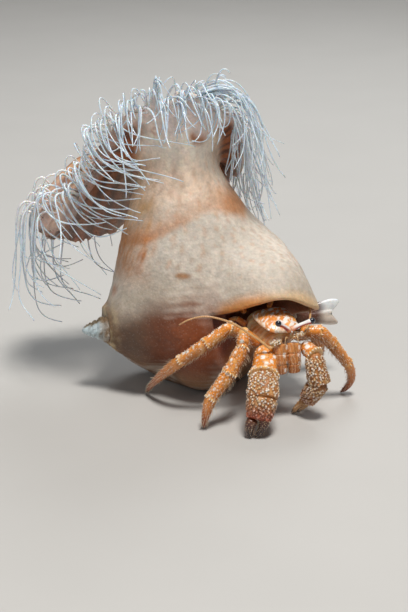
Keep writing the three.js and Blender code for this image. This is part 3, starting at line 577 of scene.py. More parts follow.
make_object("anemone_skin", skin_verts, skin_quads, np.zeros((0, 3), int), skin_colour(skin_verts), "anemone",
            ("anemone_foot", "anemone_column", "anemone_crown"))

# %% [markdown]
# ## Where the tentacles stand
# The living crown has hundreds of tentacles in a few rows just inside its rim. Hairs could be scattered
# over the rim, but here each root is drawn from a running sum of how crowded each stretch is, because the
# crest at the top is dense and the back is thin.
# %% Tentacle roots
def zone(value, start, end, blur):
    """1 between start and end, easing to 0 over blur on either side."""
    return ramp(value, start - blur / 2, start + blur / 2) * ramp(value, end + blur / 2, end - blur / 2)


def crowding(degrees):
    """How close together the tentacles stand at each turn round the rim."""
    crest = np.maximum(zone(degrees, 245, 300, 12), zone(degrees, -100, -40, 12))
    share = 0.8 + 0.2 * zone(degrees, 145, 222, 15) + 0.7 * zone(degrees, -35, 30, 10) + 1.5 * crest
    share *= 1 + zone(degrees, -80, -48, 10)
    return share * (1 + 0.5 * zone(degrees, 208, 232, 8) - 0.45 * zone(degrees, 238, 260, 10))


def tentacle_roots(count):
    """Root points, their turn round the rim, their row, and how far each belongs to the crest."""
    table = np.linspace(-np.pi, np.pi, 1441)
    r, z, turn = rim_shape(table)
    run = np.hypot(np.hypot(np.diff(r * np.cos(table)), np.diff(r * np.sin(table))), np.diff(z))
    run *= crowding(rim_degrees(turn))[:-1]
    run = np.concatenate([[0], np.cumsum(run)]) / run.sum()
    angle = np.interp((np.arange(count) + RNG.uniform(0.1, 0.9, count)) / count, run, table)
    row = RNG.integers(0, 3, count)
    rim_r, rim_z, turn = rim_shape(angle)
    degrees = rim_degrees(turn)
    crest = np.maximum(zone(degrees, 255, 300, 12), zone(degrees, -100, -40, 12))
    inward = (0.5 + 1.1 * row) * (1 - 0.75 * crest)
    inward += 7 * zone(degrees, 150, 225, 20) * RNG.uniform(0, 1, count) ** 1.5
    share = 1 - inward / rim_r
    root = np.stack([NECK[0] + share * rim_r * np.cos(angle), NECK[1] + share * rim_r * np.sin(angle),
                     disc_height(share, rim_z)[0] + 0.1], -1)
    return root, turn, row, crest


TENTACLES = 250
roots = tentacle_roots(TENTACLES)
print("tentacles:", TENTACLES, "of which on the crest:", int((roots[3] > 0.5).sum()))

# %% [markdown]
# ## How the tentacles hang
# Each tentacle is a thin taper. Its path is the running sum of small steps in a direction that turns twice:
# from the first heading, out and up, to a fall, and from the fall to a finish. Where it stands decides its
# manner. The left side hangs long, the front left sweeps across under the crown, the right hangs as a
# curtain, the front is short, and a few stand up. Simulated hair would need many runs to hang like this.
# %% Tentacles
def switch(t, length, place, width):
    """0 before a place along each tentacle and 1 after it: 1 / (1 + e^-d), d the way past it in widths."""
    return (1 / (1 + np.exp((place[:, None] - t * length[:, None]) / width[:, None])))[..., None]


def tentacle_paths(root, turn, row, crest, steps):
    """Paths (count, steps, xyz) and their half thicknesses."""
    count = len(root)
    degrees = rim_degrees(turn)
    left, sweep = zone(degrees, 122, 212, 18), zone(degrees, 212, 264, 14)
    right, back = zone(degrees, -28, 40, 12), zone(degrees, 40, 122, 15)
    out = np.stack([np.cos(turn), np.sin(turn), np.zeros(count)], -1)
    pick = RNG.uniform(0, 1, count)
    proud = pick < 0.03 + 0.05 * crest
    long_arc = (pick > 0.68) * zone(degrees, -75, -20, 8) > 0.5
    reach = np.clip(0.8 * (9 - root[:, 0]), 2, 14) * long_arc
    length = 8 + 16 * right + 8 * back + 24 * left + 20 * sweep + 14 * long_arc + reach
    length += 7 * crest * (1 - long_arc)
    length += RNG.uniform(-5, 5, count)
    length = np.where(proud, RNG.uniform(8, 14, count), length)
    climb = RNG.uniform(20, 75, count) + 12 * back + 4 * crest + 8 * (row - 1)
    climb = np.radians(np.where(proud, 78, climb))
    heading = out * np.cos(climb)[:, None] + UP * np.sin(climb)[:, None]
    heading[:, 0] -= 0.7 * heading[:, 0] * right
    heading = np.where(long_arc[:, None], [0.88, 0.1, 0.4], heading)
    stray = RNG.normal(0, 0.2, (count, 3)) * (1 - 0.5 * long_arc[:, None])
    heading += np.outer(sweep, [-0.5, 0, 0.1]) + stray
    fall = (0.1 + 0.15 * crest)[:, None] * out - UP + RNG.normal(0, 0.1, (count, 3))
    fall += np.outer(sweep, [0.35, -0.1, 0]) + np.outer(long_arc, [0.2, 0, 0])
    finish = fall + RNG.normal(0, 0.55, (count, 3)) + np.outer(left, [1.2, -0.2, 0.8])
    finish += np.outer(right, [0.1, 0, 0])
    across = np.array([1, -0.15, -0.2]) + RNG.normal(0, 0.32, (count, 3))
    finish = finish * (1 - sweep[:, None]) + across * sweep[:, None]
    first = np.where(proud, 10, np.where(long_arc, 1, RNG.uniform(2.5, 7.5, count)))
    first = first * (1 - 0.45 * left - 0.45 * right) + reach + 1.2 * crest + 1.5 * sweep
    second = length * (0.8 - 0.28 * sweep - 0.06 * left) + RNG.uniform(-4.5, 3, count)
    t = np.linspace(0, 1, steps)[None, :]
    turn1 = switch(t, length, first, 1.7 + 1.3 * long_arc)
    turn2 = switch(t, length, second, 2 + sweep)
    direction = unit(heading)[:, None] * (1 - turn1) + unit(fall)[:, None] * turn1
    direction = unit(direction * (1 - turn2) + unit(finish)[:, None] * turn2)
    sway, twist = RNG.normal(0, 1, (2, count, 1, 3))
    t = t[..., None]
    direction = unit(direction + 0.16 * sway * np.sin(5 * t + 3 * twist[..., :1]) * t + 0.22 * twist * t ** 4)
    path = root[:, None] + np.cumsum(direction, axis=1) * (length[:, None, None] / steps)
    path = np.concatenate([root[:, None] - 0.3 * unit(heading)[:, None], path[:, :-1]], axis=1)
    half = (0.30 + 0.06 * RNG.uniform(-1, 1, count))[:, None] * (1 - 0.6 * np.linspace(0, 1, steps) ** 0.9)
    return path, half


def pushed_out(paths, free=5, gap=0.7):
    """The paths beyond their first points, moved until they clear the anemone's body by the gap."""
    points = paths[:, free:].reshape(-1, 3)
    push = unit(gradient(points, body_distance)) * np.clip(gap - body_distance(points), 0, 2.5)[:, None]
    push[:, 2] *= 0.3
    paths[:, free:] += push.reshape(paths[:, free:].shape)
    return paths


STEPS, SIDES = 30, 7
paths, half = tentacle_paths(*roots, STEPS)
for _ in range(3):
    paths = pushed_out(paths)
paths[:, :, 2] = np.maximum(paths[:, :, 2], 0.6)
along = ring_values(np.linspace(0, 1, STEPS), SIDES, TENTACLES)
make_object("tentacles", *closed_tubes(tube_grid(paths, half, SIDES)),
            mix(srgb(242, 238, 234), srgb(214, 230, 242), ramp(along, 0.0, 0.4)),
            "tentacle", [f"tentacles_{i}" for i in range(1, 9)])

# %% [markdown]
# ## The spire and the canal
# Little of the snail's shell shows: the chalky spire on the left, the white canal on the right and the
# pillar inside the mouth. All three are one turned shape whose half width follows its length, as if made on
# a lathe. The spire carries a spiral groove, which is a wave in both the length's logarithm and the angle,
# and the canal is split by a slot.
# %% Spire and canal
PILLAR = np.array([  # place along the coil's axis, half width
    [0, 0.5], [1.3, 1.3], [3.4, 2.2], [5.4, 3.1], [7, 3.7], [9, 4.3], [26, 4.6], [40, 4.4], [52, 3.2],
    [60, 2.6], [66, 2.4], [67, 2.2],
])


def turned(name, x0, x1, rings, sides, shape, colour, slot, node, fan=0.0):
    """A turned piece along the coil's axis: half width by length, altered by shape(x, angle). fan opens its
    end upwards and downwards, thins it, and forks it by drawing back the middle of the edge."""
    x = np.linspace(x0, x1, rings)
    edge = (np.minimum(x - x0, x1 - x) / 0.35).clip(0.05, 1) ** 0.5
    xx, aa = round_grid(x, sides)
    rr = (smooth_rows(PILLAR, x)[:, 0] * edge)[:, None] * shape(xx, aa)
    open_out = fan * ramp(xx, x1 - 9, x1)
    high = rr * np.sin(aa) * (1 + 0.45 * open_out)
    xx = xx - 2.4 * open_out * (0.9 - np.minimum(np.abs(high), 2.6) / 2.6)
    local = np.stack([xx, -rr * np.cos(aa) * (1 - 0.5 * open_out), -high], -1)
    verts, quads, tris = closed_tubes((local @ SHELL_AXES.T + APEX)[None])
    make_object(name, verts, quads, tris, colour(verts), slot, (node,))


def spire_shape(x, a):
    """The suture's spiral groove with fine ribs along the shell."""
    phase = np.log(np.maximum(x, 0.2) + 0.6) / np.log(1.42) + a / (2 * np.pi)
    groove = np.abs(np.sin(np.pi * phase)) ** 0.6
    return 0.86 + 0.2 * groove + 0.035 * np.sin(13 * a + 3 * phase) * groove


def canal_shape(x, a):
    """A slot along the front that opens towards the tip, and a flaring end."""
    slot = np.exp(-((np.mod(a + 0.9 + np.pi, 2 * np.pi) - np.pi) / 0.5) ** 2)
    return (1 - 0.6 * slot * ramp(x, 55, 61)) * (1 + 0.12 * np.sin(3 * a + 1) * ramp(x, 57, 66))


def chalk_and_highlight(p):
    """Bluish white chalk, partly its own colour and partly painted highlight, mottled with tan and tan
    towards the body.
    """
    c = mix(srgb(186, 200, 204), srgb(116, 102, 80), ramp(waves(p, 1.1, 21), -0.1, 0.6))
    return mix(c, srgb(140, 112, 82), 0.75 * ramp(p[:, 0], -27.5, -24.5))


def porcelain(p):
    """White above and tan below, dark where it leaves the shell."""
    tan = ramp(19.2 - p[:, 2] + 0.6 * waves(p, 0.9, 22), 0, 2.2)
    c = mix(srgb(232, 238, 242), srgb(196, 164, 124), tan * 0.6)
    return mix(c, srgb(86, 50, 34), ramp(32 - p[:, 0], 0, 3))


turned("shell_spire_piece", 0, 7, 60, 72, spire_shape, chalk_and_highlight, "spire", "shell_spire")
turned("shell_canal_piece", 50, 67, 70, 60, canal_shape, porcelain, "canal", "shell_canal", 1.0)

# %% [markdown]
# ## The old whorls
# Behind the crab the snail's own whorls close the room. They are the coil's tube again, a little inside the
# anemone, with the pillar running through them.
# %% Whorls
def on_coil(length, reach, theta):
    """Points at a length along the coil's axis, a distance from it and an angle round it."""
    return np.stack([length, -reach * np.cos(theta), -reach * np.sin(theta)], -1) @ SHELL_AXES.T + APEX


def old_shell(grid):
    """A closed tube in the brown of old shell."""
    verts, quads, tris = closed_tubes(grid[None])
    pale = ramp(waves(verts, 0.7, 23), -0.4, 0.7)
    return verts, quads, tris, mix(srgb(112, 66, 44), srgb(150, 98, 70), pale)


turns, around = round_grid(np.linspace(-640, -206, 140), 40)
g = TURN_GROWTH ** (turns / 360)
reach = WHORL["offset"] * g + (WHORL["radial"] * g - 0.8) * np.cos(around)
length = WHORL["reach"] * g + (WHORL["axial"] * g - 0.8) * np.sin(around)
whorl = on_coil(length, reach, np.radians(LIP_ANGLE + turns))
whorl[..., 2] = np.maximum(whorl[..., 2], 1.3)
length, around = round_grid(np.linspace(6.5, 52, 40), 40)
pillar = on_coil(length, smooth_rows(PILLAR, length[:, 0]), around)
make_object("shell_whorl_piece", *join([old_shell(whorl), old_shell(pillar)]), "old_shell", ("shell_whorl",))

# %% [markdown]
# ## Places and small cones on a limb
# Granules, teeth and bristles all stand on a limb, so they need places on its grid with the way out and the
# way along. A turn of the golden angle from each place to the next spreads them without rows. Scatter nodes
# could do this too, but then the size of each could not follow its place so simply.
# %% Granules
HAIR_ROOTS = []


def grid_normals(grid):
    """Outward directions of one tube of rings (ring, side, xyz)."""
    along = np.gradient(grid, axis=0)
    around = np.roll(grid, -1, axis=1) - np.roll(grid, 1, axis=1)
    n = unit(np.cross(around, along))
    outward = grid - grid.mean(axis=1, keepdims=True)
    return n * np.sign(np.sum(n * outward, axis=-1, keepdims=True).sum(axis=1, keepdims=True) + 1e-9)


def nearest_side(a, sides):
    """Number of the side nearest to an angle."""
    return np.round(a / (2 * np.pi) * sides).astype(int) % sides


def scatter(grid, tt, spacing, rng, back=-0.4, ends=(0.1, 0.94)):
    """Places about one spacing apart on a tube grid: points, ways out and along, t, a, grid numbers."""
    rings, sides, _ = grid.shape
    girth = np.linalg.norm(np.diff(grid[rings // 2], axis=0), axis=1).sum()
    length = np.linalg.norm(grid[-1].mean(axis=0) - grid[0].mean(axis=0))
    count = int(girth * length / spacing ** 2)
    golden = 2.39996
    t = rng.permutation(np.linspace(ends[0], ends[1], count))
    a = np.mod(np.arange(count) * golden, 2 * np.pi) + rng.uniform(-0.2, 0.2, count)
    keep = np.sin(a) > back
    t, a = np.sort(t)[keep], np.mod(a[keep], 2 * np.pi)
    i = np.clip(np.searchsorted(tt[:, 0], t), 1, rings - 2)
    j = nearest_side(a, sides)
    return grid[i, j], grid_normals(grid)[i, j], unit(grid[i + 1, j] - grid[i - 1, j]), t, a, (i, j)


def cones(roots, directions, height, width, base_colour, tip_colour, sides=5):
    """Small blunt cones from sunk roots, their colour changing towards the tips."""
    steps = np.array([-0.25, 0.35, 0.75, 1.0])
    paths = roots[:, None] + directions[:, None] * (steps[None, :, None] * height[:, None, None])
    radii = width[:, None] * np.array([1.0, 0.78, 0.42, 0.08])
    flat = unit(np.cross(directions, [0.31, 0.52, 0.8]))
    each = len(steps) * sides + 2
    base, tip = (np.repeat(c, each, axis=0) if np.ndim(c) > 1 else c for c in (base_colour, tip_colour))
    tint = mix(base, tip, ring_values([0, 0.3, 1, 1], sides, len(roots)))
    return (*closed_tubes(tube_grid(paths, radii, sides, flat=flat)), tint)


print("each granule has", 4 * 5 + 2, "points")

# %% [markdown]
# ## The shape of a stretch of limb
# A limb is a row of stiff stretches. Each is a grid of ovals from joint to joint: narrow where it sits in
# the one before, swollen in the middle and flared to a rim at the far end. Transverse rows of low scales
# come from a saw-tooth wave in the length. The same rows of a table serve all legs, which keeps them of one
# kind.
# %% Stretches
LEG_ROWS = np.array([  # share of the length, share of the half width, share of the half height
    [0, 0.56, 0.56], [0.05, 0.78, 0.8], [0.16, 0.92, 0.95], [0.5, 1, 1], [0.82, 0.98, 1], [0.93, 1.05, 1.06],
    [0.975, 1.03, 1.03], [1, 0.72, 0.72],
])


def stretch_grid(start, end, up, wide, high, rows, rings, sides, arch, scales, relief, seed):
    """Point at length t and angle a: start + t (end - start) + (w + r) cos a side + (h + r) sin a back,
    raised in the middle by arch 4 t (1 - t). r is a saw-tooth in t, broken up round the limb, and stronger
    on the back."""
    axis = unit(end - start)
    side = unit(np.cross(axis, up))
    back = np.cross(side, axis)
    t = np.linspace(0, 1, rings) + 0.05 * np.sin(2 * np.pi * np.linspace(0, 1, rings))
    shape = smooth_rows(rows, t)
    w = ((wide[0] + (wide[1] - wide[0]) * t) * shape[:, 0])[:, None]
    h = ((high[0] + (high[1] - high[0]) * t) * shape[:, 1])[:, None]
    tt, aa = round_grid(t, sides)
    saw = np.mod(tt * scales + 0.16 * np.sin(2 * aa + seed) + 0.06 * np.sin(7 * aa), 1)
    knobs = 0.65 + 0.35 * np.sin(12 * aa + 5 * np.floor(tt * scales))
    r = relief * saw ** 1.5 * knobs * (0.6 + 0.4 * np.sin(aa))
    r = r * ramp(tt, 0.06, 0.2) * ramp(1 - tt, 0.02, 0.08)
    centre = start + tt[..., None] * (end - start) + (4 * arch * tt * (1 - tt))[..., None] * back
    grid = centre + ((w + r) * np.cos(aa))[..., None] * side + ((h + r) * np.sin(aa))[..., None] * back
    return grid, tt, aa


def curve_points(a, bow, b, steps):
    """A curve from a to b that is pulled towards bow: (1-s)^2 a + 2 s (1-s) bow + s^2 b."""
    s = np.linspace(0, 1, steps)[:, None]
    return (1 - s) ** 2 * a + 2 * s * (1 - s) * bow + s * s * b


def bent_part(path, radius, flat, squash, colour, sides=24):
    """A curved taper of oval section, with its colour given along its length, and its grid with s and a."""
    grid = tube_grid(path[None], radius[None], sides, flat=flat, squash=squash)[0]
    grid[..., 2] = np.maximum(grid[..., 2], 0.02)
    tint = np.repeat(colour[:, None], sides, axis=1)
    return one_tube(grid, tint), (grid, *round_grid(np.linspace(0, 1, len(path)), sides))


print("a stretch is widest, at", LEG_ROWS[:, 1].max(), "of its half width, near its far rim")

# %% [markdown]
# ## Orange with white squares
# The limbs are orange, deeper below, with square white spots in rows along the back. A square with soft
# corners is where the cubes of the two distances from its middle add up to less than one.
# %% Limb colours
ORANGE = dict(low=srgb(190, 112, 36), high=srgb(234, 146, 54), pale=srgb(238, 190, 124),
              white=srgb(248, 242, 234))


def soft_squares(tt, aa, length, girth, across, seed, size, middle=np.pi / 2):
    """Soft-edged square spots in rows along the back: 1 inside a spot, 0 outside."""
    rng = np.random.default_rng(seed)
    best = np.zeros(tt.shape)
    rows = max(2, int(round(length / 2.1)))
    jitter = 0.18
    for i in range(rows):
        for j in range(across):
            t0 = (i + 0.5 + jitter * rng.normal() + 0.5 * (j % 2)) / (rows + 0.3)
            a0 = middle + (j - (across - 1) / 2) * 0.85 + jitter * rng.normal()
            gap = np.mod(aa - a0 + np.pi, 2 * np.pi) - np.pi
            s = size[0] * rng.uniform(0.6, 1.25)
            lengthwise = np.abs((tt - t0) * length / s)
            crosswise = np.abs(gap * girth / (size[1] * s / size[0]))
            d = (lengthwise ** 3 + crosswise ** 3) ** (1 / 3)
            best = np.maximum(best, 1 - ramp(d, 0.7, 1.25))
    return best


def limb_colour(points, tt, aa, length, girth, seed, across=1, low=ORANGE["low"], high=ORANGE["high"],
                rim=0.8, spots=1.0, square=0.55):
    """Orange, deeper below, with squares of white along the back and a pale far rim."""
    c = mix(low, high, ramp(np.sin(aa), -0.5, 0.8))
    c = mix(c, ORANGE["pale"], 0.45 * ramp(waves(points, 1.6, seed), 0.1, 1.0))
    c = mix(c, c * 0.7, 0.5 * ramp(-waves(points, 2.6, seed + 1), 0.2, 1.0))
    squares = soft_squares(tt, aa, length, girth, across, seed, (square, 0.9 * square))
    c = mix(c, ORANGE["white"], spots * squares)
    return mix(c, ORANGE["pale"], rim * ramp(tt, 0.9, 0.96))


def stretch_part(start, end, up, wide, high, rows=LEG_ROWS, rings=44, sides=32, arch=0.0, scales=9,
                 relief=0.1, seed=0, grain=None, hair=None, teeth=0, look=None):
    """A finished stretch as (points, quads, triangles, colours). grain is the spacing, height and width of
    its granules, hair the spacing and length of its bristles, and look goes to limb_colour."""
    start, end = np.asarray(start, float), np.asarray(end, float)
    rng = np.random.default_rng(seed + 100)
    grid, tt, aa = stretch_grid(start, end, up, wide, high, rows, rings, sides, arch, scales, relief, seed)
    colour = limb_colour(grid, tt, aa, np.linalg.norm(end - start), np.mean(wide), seed, **(look or {}))
    parts = [one_tube(grid, colour)]
    if grain:
        p, n, along, _, a, place = scatter(grid, tt, grain[0], rng)
        size = rng.uniform(0.65, 1.3, len(p)) * (0.7 + 0.3 * np.sin(a))
        tip = mix(srgb(216, 180, 128), ORANGE["white"] * 0.95, rng.uniform(0, 1, len(p)) ** 1.1)
        parts.append(cones(p, unit(n + 0.3 * along), grain[1] * size, grain[2] * size, colour[place], tip))
    if teeth:
        j = nearest_side((np.arange(teeth) + 0.5) / teeth * np.pi * 1.3 - 0.15 * np.pi, sides)
        i = np.full(teeth, np.argmin(np.abs(tt[:, 0] - 0.955)))
        way = unit(grid_normals(grid)[i, j] + 1.2 * unit(end - start))
        size = rng.uniform(0.8, 1.2, teeth)
        parts.append(cones(grid[i, j], way, 0.55 * size, 0.26 * size, ORANGE["pale"], ORANGE["white"]))
    if hair:
        HAIR_ROOTS.append((grid, tt, hair, seed))
    return join(parts)


print("white squares repeat every 2.1 mm along a limb")

# %% [markdown]
# ## The walking legs
# Four legs reach out from under the lip. Each has a thigh, a short knee, a shin and a curved foot that ends
# in a horny point on the ground. Bristles stand along the edges. The joints are the same as in the solid
# model, so every piece lies where its solid lies.
# %% Walking legs
LEGS = {
    "leg1_right": dict(
        hip=(13.2, -9.4, 18.6), smooth=0.0, radii=[1.35, 1.5, 1.75, 1.25], bow=(0.2, -19.4, 4),
        joints=[(9.8, -11.7, 22.2), (9.3, -14.8, 19.3), (6.3, -17, 13.7), (1.7, -18.6, 7.8),
                (0, -18.9, 0.1)]),
    "leg2_right": dict(
        smooth=0.3, radii=[1.2, 1.35, 1.4, 1.25], bow=(-12, -4.4, 7.6),
        joints=[(11.9, -6.5, 18.4), (6.1, -10.3, 23), (0.7, -11, 19.1), (-5.7, -9.2, 13.9),
                (-14.9, 3.6, 0.1)]),
    "leg1_left": dict(
        smooth=0.6, radii=[1.4, 1.6, 1.45, 1.2], bow=(39.4, 2.4, 3.5),
        joints=[(23.8, -5.2, 20.2), (28.8, -4.6, 19.8), (32, -2.6, 16), (36.3, 0, 9.6), (35, 3.8, 0.1)]),
    "leg2_left": dict(
        smooth=0.6, radii=[1.3, 1.45, 1.35, 1.1], bow=(29.5, 8.2, 3),
        joints=[(22.5, -1, 17.4), (27.4, 0.6, 17.6), (29.4, 3, 13.8), (29.2, 6, 7.5), (28, 8, 0.1)]),
}
FOOT_COLOURS = np.array([[0, *srgb(214, 140, 66)], [0.4, *srgb(198, 116, 50)], [0.72, *srgb(160, 84, 44)],
                         [0.93, *srgb(120, 62, 40)], [1, *srgb(78, 40, 26)]])


def leg_stretches(name, joints, r, rough, hip, number):
    """Thigh, knee and shin. The thigh of the foremost leg also has its hip."""
    for i, part in enumerate(["thigh", "knee", "shin"]):
        axis = unit(joints[i + 1] - joints[i])
        start = joints[i] - axis * (0.55 * r[i] if i else 0)
        end = joints[i + 1] + axis * 0.25
        wide, high = (r[i], r[i + 1]), (r[i] * 1.1, r[i + 1] * 1.1)
        made = stretch_part(start, end, UP, wide, high, seed=10 * number + i,
                            scales=5 if part == "knee" else 8, relief=0.06 + 0.08 * rough,
                            grain=(0.8 - 0.15 * rough, 0.16 + 0.16 * rough, 0.17), hair=leg_hair(rough),
                            teeth=9 if rough > 0.5 else 5, look=dict(across=1 + (i == 2), square=0.43))
        if i == 0 and hip:
            rise = unit(joints[0] - np.array(hip))
            even = (r[0], r[0])
            root = stretch_part(hip, joints[0] + 0.9 * rise, UP, even, even, rings=24, seed=90)
            made = join([made, root])
        make_object(f"{name}_{part}_piece", *made, "leg", (f"{name}_{part}",))


def leg_hair(rough):
    """Spacing and length of a leg's bristles."""
    return 0.8, 1.4 + 0.7 * rough ** 3


def leg_foot(name, joints, base, bow, rough, number, steps=40):
    """A curved taper with low pimples. Its first four rings are drawn back into the shin."""
    path = curve_points(joints[3], np.array(bow, float), joints[4], steps)
    path[:4] -= unit(path[5] - path[0]) * 0.15 * np.array([4, 3, 2, 1])[:, None]
    s = np.linspace(0, 1, steps)
    radius = (0.96 * base * (1 - s) ** 0.75 + 0.36) * ramp(s, -0.08, 0.06) * (1 - 0.75 * ramp(s, 0.9, 1.0))
    tint = np.clip(smooth_rows(FOOT_COLOURS, s), 0, 1)
    part, (grid, ss, _) = bent_part(path, radius, unit(np.cross(joints[4] - joints[3], UP)), 0.86, tint)
    rng = np.random.default_rng(number)
    p, n, along, t, _, _ = scatter(grid, ss, 1.15 - 0.3 * rough, rng, back=-2, ends=(0.06, 0.7))
    size = rng.uniform(0.6, 1.2, len(p)) * (1.1 - t)
    pimples = cones(p, unit(n + 0.8 * along), 0.3 * size, 0.18 * size, smooth_rows(FOOT_COLOURS, t),
                    ORANGE["white"] * 0.8)
    HAIR_ROOTS.append((grid, ss, leg_hair(rough), 50 + number))
    make_object(f"{name}_foot_piece", *join([part, pimples]), "dactyl", (f"{name}_foot",))


for number, (name, leg) in enumerate(LEGS.items()):
    joints, rough = np.array(leg["joints"], float), 1 - leg["smooth"]
    leg_stretches(name, joints, leg["radii"], rough, leg.get("hip"), number)
    leg_foot(name, joints, leg["radii"][3], leg["bow"], rough, number)

# %% [markdown]
# ## The claws
# The right claw is the larger. Its arm has scale rows, white squares and a toothed collar. Wrist and palm
# are thick with white-tipped granules, and the two fingers close into a dark point on the ground. The left
# claw is slimmer and its fingers are paler. Both come from one loop, and a few shares make the difference.
# %% Claws
CLAWS = {
    "claw_right": dict(
        joints=[(15.4, -9.8, 17.6), (14.5, -18.2, 13.7), (14.1, -22.3, 9.5), (13.1, -24.2, 4.6),
                (11.9, -24.2, 0.1)],
        across=(1, 0, 0.1), wide=[(2.8, 3.3), (3.3, 3.65), (3.7, 3.0)],
        high=[(2.2, 2.8), (2.8, 2.85), (2.75, 2.2)]),
    "claw_left": dict(
        joints=[(24.6, -9, 18.2), (27, -12.6, 16.8), (28.4, -13.8, 10), (25.4, -11.8, 4.4),
                (22.4, -9.8, 0.1)],
        across=(0.75, -0.45, 0.45), wide=[(1.6, 2.15), (2.2, 2.65), (2.6, 2.0)],
        high=[(1.6, 2.1), (2.1, 2.35), (2.25, 1.7)]),
}
ARM_ROWS = np.array([[0, 0.6, 0.6], [0.1, 0.84, 0.86], [0.45, 0.98, 1], [0.8, 0.98, 1], [0.92, 1.1, 1.12],
                     [0.965, 1.1, 1.1], [1, 0.74, 0.7]])
WRIST_ROWS = np.array([[0, 0.5, 0.52], [0.06, 0.74, 0.76], [0.22, 0.94, 0.98], [0.55, 1.03, 1.06],
                       [0.82, 1.05, 1.02], [0.94, 1.0, 0.98], [0.975, 0.96, 0.92], [1, 0.7, 0.66]])
PALM_ROWS = np.array([[0, 0.55, 0.56], [0.06, 0.8, 0.78], [0.25, 0.98, 1], [0.6, 1.02, 1.02],
                      [0.85, 0.96, 0.92], [0.96, 0.86, 0.8], [1, 0.6, 0.55]])
FINGER_COLOURS = np.array([[0, *srgb(124, 76, 50)], [0.25, *srgb(88, 44, 32)], [0.6, *srgb(56, 26, 22)],
                           [1, *srgb(34, 16, 15)]])
BARE = dict(relief=0.16, teeth=12, grain=(1.1, 0.2, 0.2), look=dict(across=3, rim=0.9))
BEADED = dict(relief=0.05, arch=0.25,
              look=dict(low=srgb(140, 84, 36), high=srgb(176, 112, 54), rim=0, spots=0.0))


def claw_stretches(name, claw, joints, up, left):
    """Arm, wrist and palm. The palm darkens towards the fingers, on the left claw less so."""
    for i, (part, rows) in enumerate([("arm", ARM_ROWS), ("wrist", WRIST_ROWS), ("palm", PALM_ROWS)]):
        axis = unit(joints[i + 1] - joints[i])
        start = joints[i] - axis * (0.3 * claw["high"][i][0] if i else 0)
        end = joints[i + 1] + axis * (0.4 if i < 2 else 0.0)
        finish = dict(BEADED, grain=(0.72 - 0.08 * left, 0.42, 0.42)) if i else BARE
        made = stretch_part(start, end, up, claw["wide"][i], claw["high"][i], rows, 64, 56, scales=7,
                            seed=200 + 10 * left + i, hair=(1.3, 1.1), **finish)
        if part == "palm":
            verts, quads, tris, colour = made
            down = ramp((verts - joints[2]) @ axis / np.linalg.norm(joints[3] - joints[2]), 0.05, 1.05)
            dark = colour * srgb(150, 92, 78) * 2
            made = verts, quads, tris, mix(colour * (0.86 + 0.08 * left), dark, down * (1 - 0.55 * left))
        make_object(f"{name}_{part}_piece", *made, "claw" if i else "arm", (f"{name}_{part}",))


def claw_finger(name, part, way, run, knuckle, across, palm, left, steps=36):
    """Finger or thumb: a curved taper on one side of the palm's end, pimpled outside, toothed inside."""
    base = knuckle + across * way * palm * 0.46 - unit(run) * 0.4
    bow = base + run * 0.55 + across * way * 0.7
    path = curve_points(base, bow, knuckle + run + across * way * 0.6, steps)
    s = np.linspace(0, 1, steps)
    radius = palm * 0.47 * (1 - 0.62 * s ** 1.3) * ramp(s, -0.12, 0.08) * (1 - 0.7 * ramp(s, 0.88, 1))
    shade = mix(smooth_rows(FINGER_COLOURS, s), srgb(198, 148, 92), 0.8 * left * ramp(1 - s, 0.1, 0.5))
    body, (grid, ss, _) = bent_part(path, radius, np.cross(across, run), 0.95, np.clip(shade, 0, 1))
    rng = np.random.default_rng(way + 5)
    p, n, along, t, _, _ = scatter(grid, ss, 0.75, rng, back=-2, ends=(0.02, 0.6))
    size = rng.uniform(0.6, 1.2, len(p)) * (1 - t)
    ground = shade[(t * (steps - 1)).astype(int)]
    pimples = cones(p, unit(n + 0.6 * along), 0.36 * size, 0.22 * size, ground, srgb(226, 190, 150))
    rows = np.arange(6, steps - 3, 3)
    inner = path[rows] - across * way * radius[rows][:, None] * 0.9
    inward = np.tile(-across * way, (len(rows), 1))
    even = np.ones(len(rows))
    teeth = cones(inner, inward, 0.3 * even, 0.26 * even, srgb(190, 150, 120), srgb(236, 220, 200))
    HAIR_ROOTS.append((grid, ss, (1.0, 1.2), 300 + left * 2 + way))
    make_object(f"{name}_{part}_piece", *join([body, pimples, teeth]), "finger", (f"{name}_{part}",))


for left, (name, claw) in enumerate(CLAWS.items()):
    joints = np.array(claw["joints"], float)
    across = unit(np.array(claw["across"], float))
    claw_stretches(name, claw, joints, unit(np.cross(joints[3] - joints[2], across)), left)
    for part, way in (("finger", 1), ("thumb", -1)):
        claw_finger(name, part, way, joints[4] - joints[3], joints[3], across, claw["wide"][2][1], left)

# %% [markdown]
# ## The shield
# The shield is the hard plate on the crab's head. Its front edge has a blunt middle point and two side
# points, and a groove crosses it at the back. It is a dome of ovals laid across the body. A loft of drawn
# sections would do as well, but with the sections in rows the groove and the swellings can be added as one
# small relief.
# %% Shield
FORWARD = unit(np.array([0.5, -0.84, -0.2]))
LEFT = unit(np.cross(UP, FORWARD))
DORSAL = np.cross(FORWARD, LEFT)
SHIELD_CENTRE = np.array([17.4, -7.0, 23.0])
SHIELD_ROWS = [[5.6, 1.6, 0.9, 0.2], [4.6, 3.3, 1.6, 0], [2.5, 4.6, 2.4, -0.2], [-0.5, 5, 2.8, -0.2],
               [-3, 4.7, 2.6, 0], [-4.6, 3.6, 2, 0.3]]
THORAX_ROWS = [[4.8, 2.4, -0.45, -4], [3, 4, -0.6, -5.6], [0, 4.6, -0.6, -6.2], [-3.5, 4.6, -0.6, -6],
               [-6, 4, -0.2, -5], [-8, 2.8, 0, -3.6]]


def in_body(f, l, u):
    """A point given forward, to the left and up from the shield's middle."""
    f, l, u = np.broadcast_arrays(f, l, u)
    return SHIELD_CENTRE + f[..., None] * FORWARD + l[..., None] * LEFT + u[..., None] * DORSAL


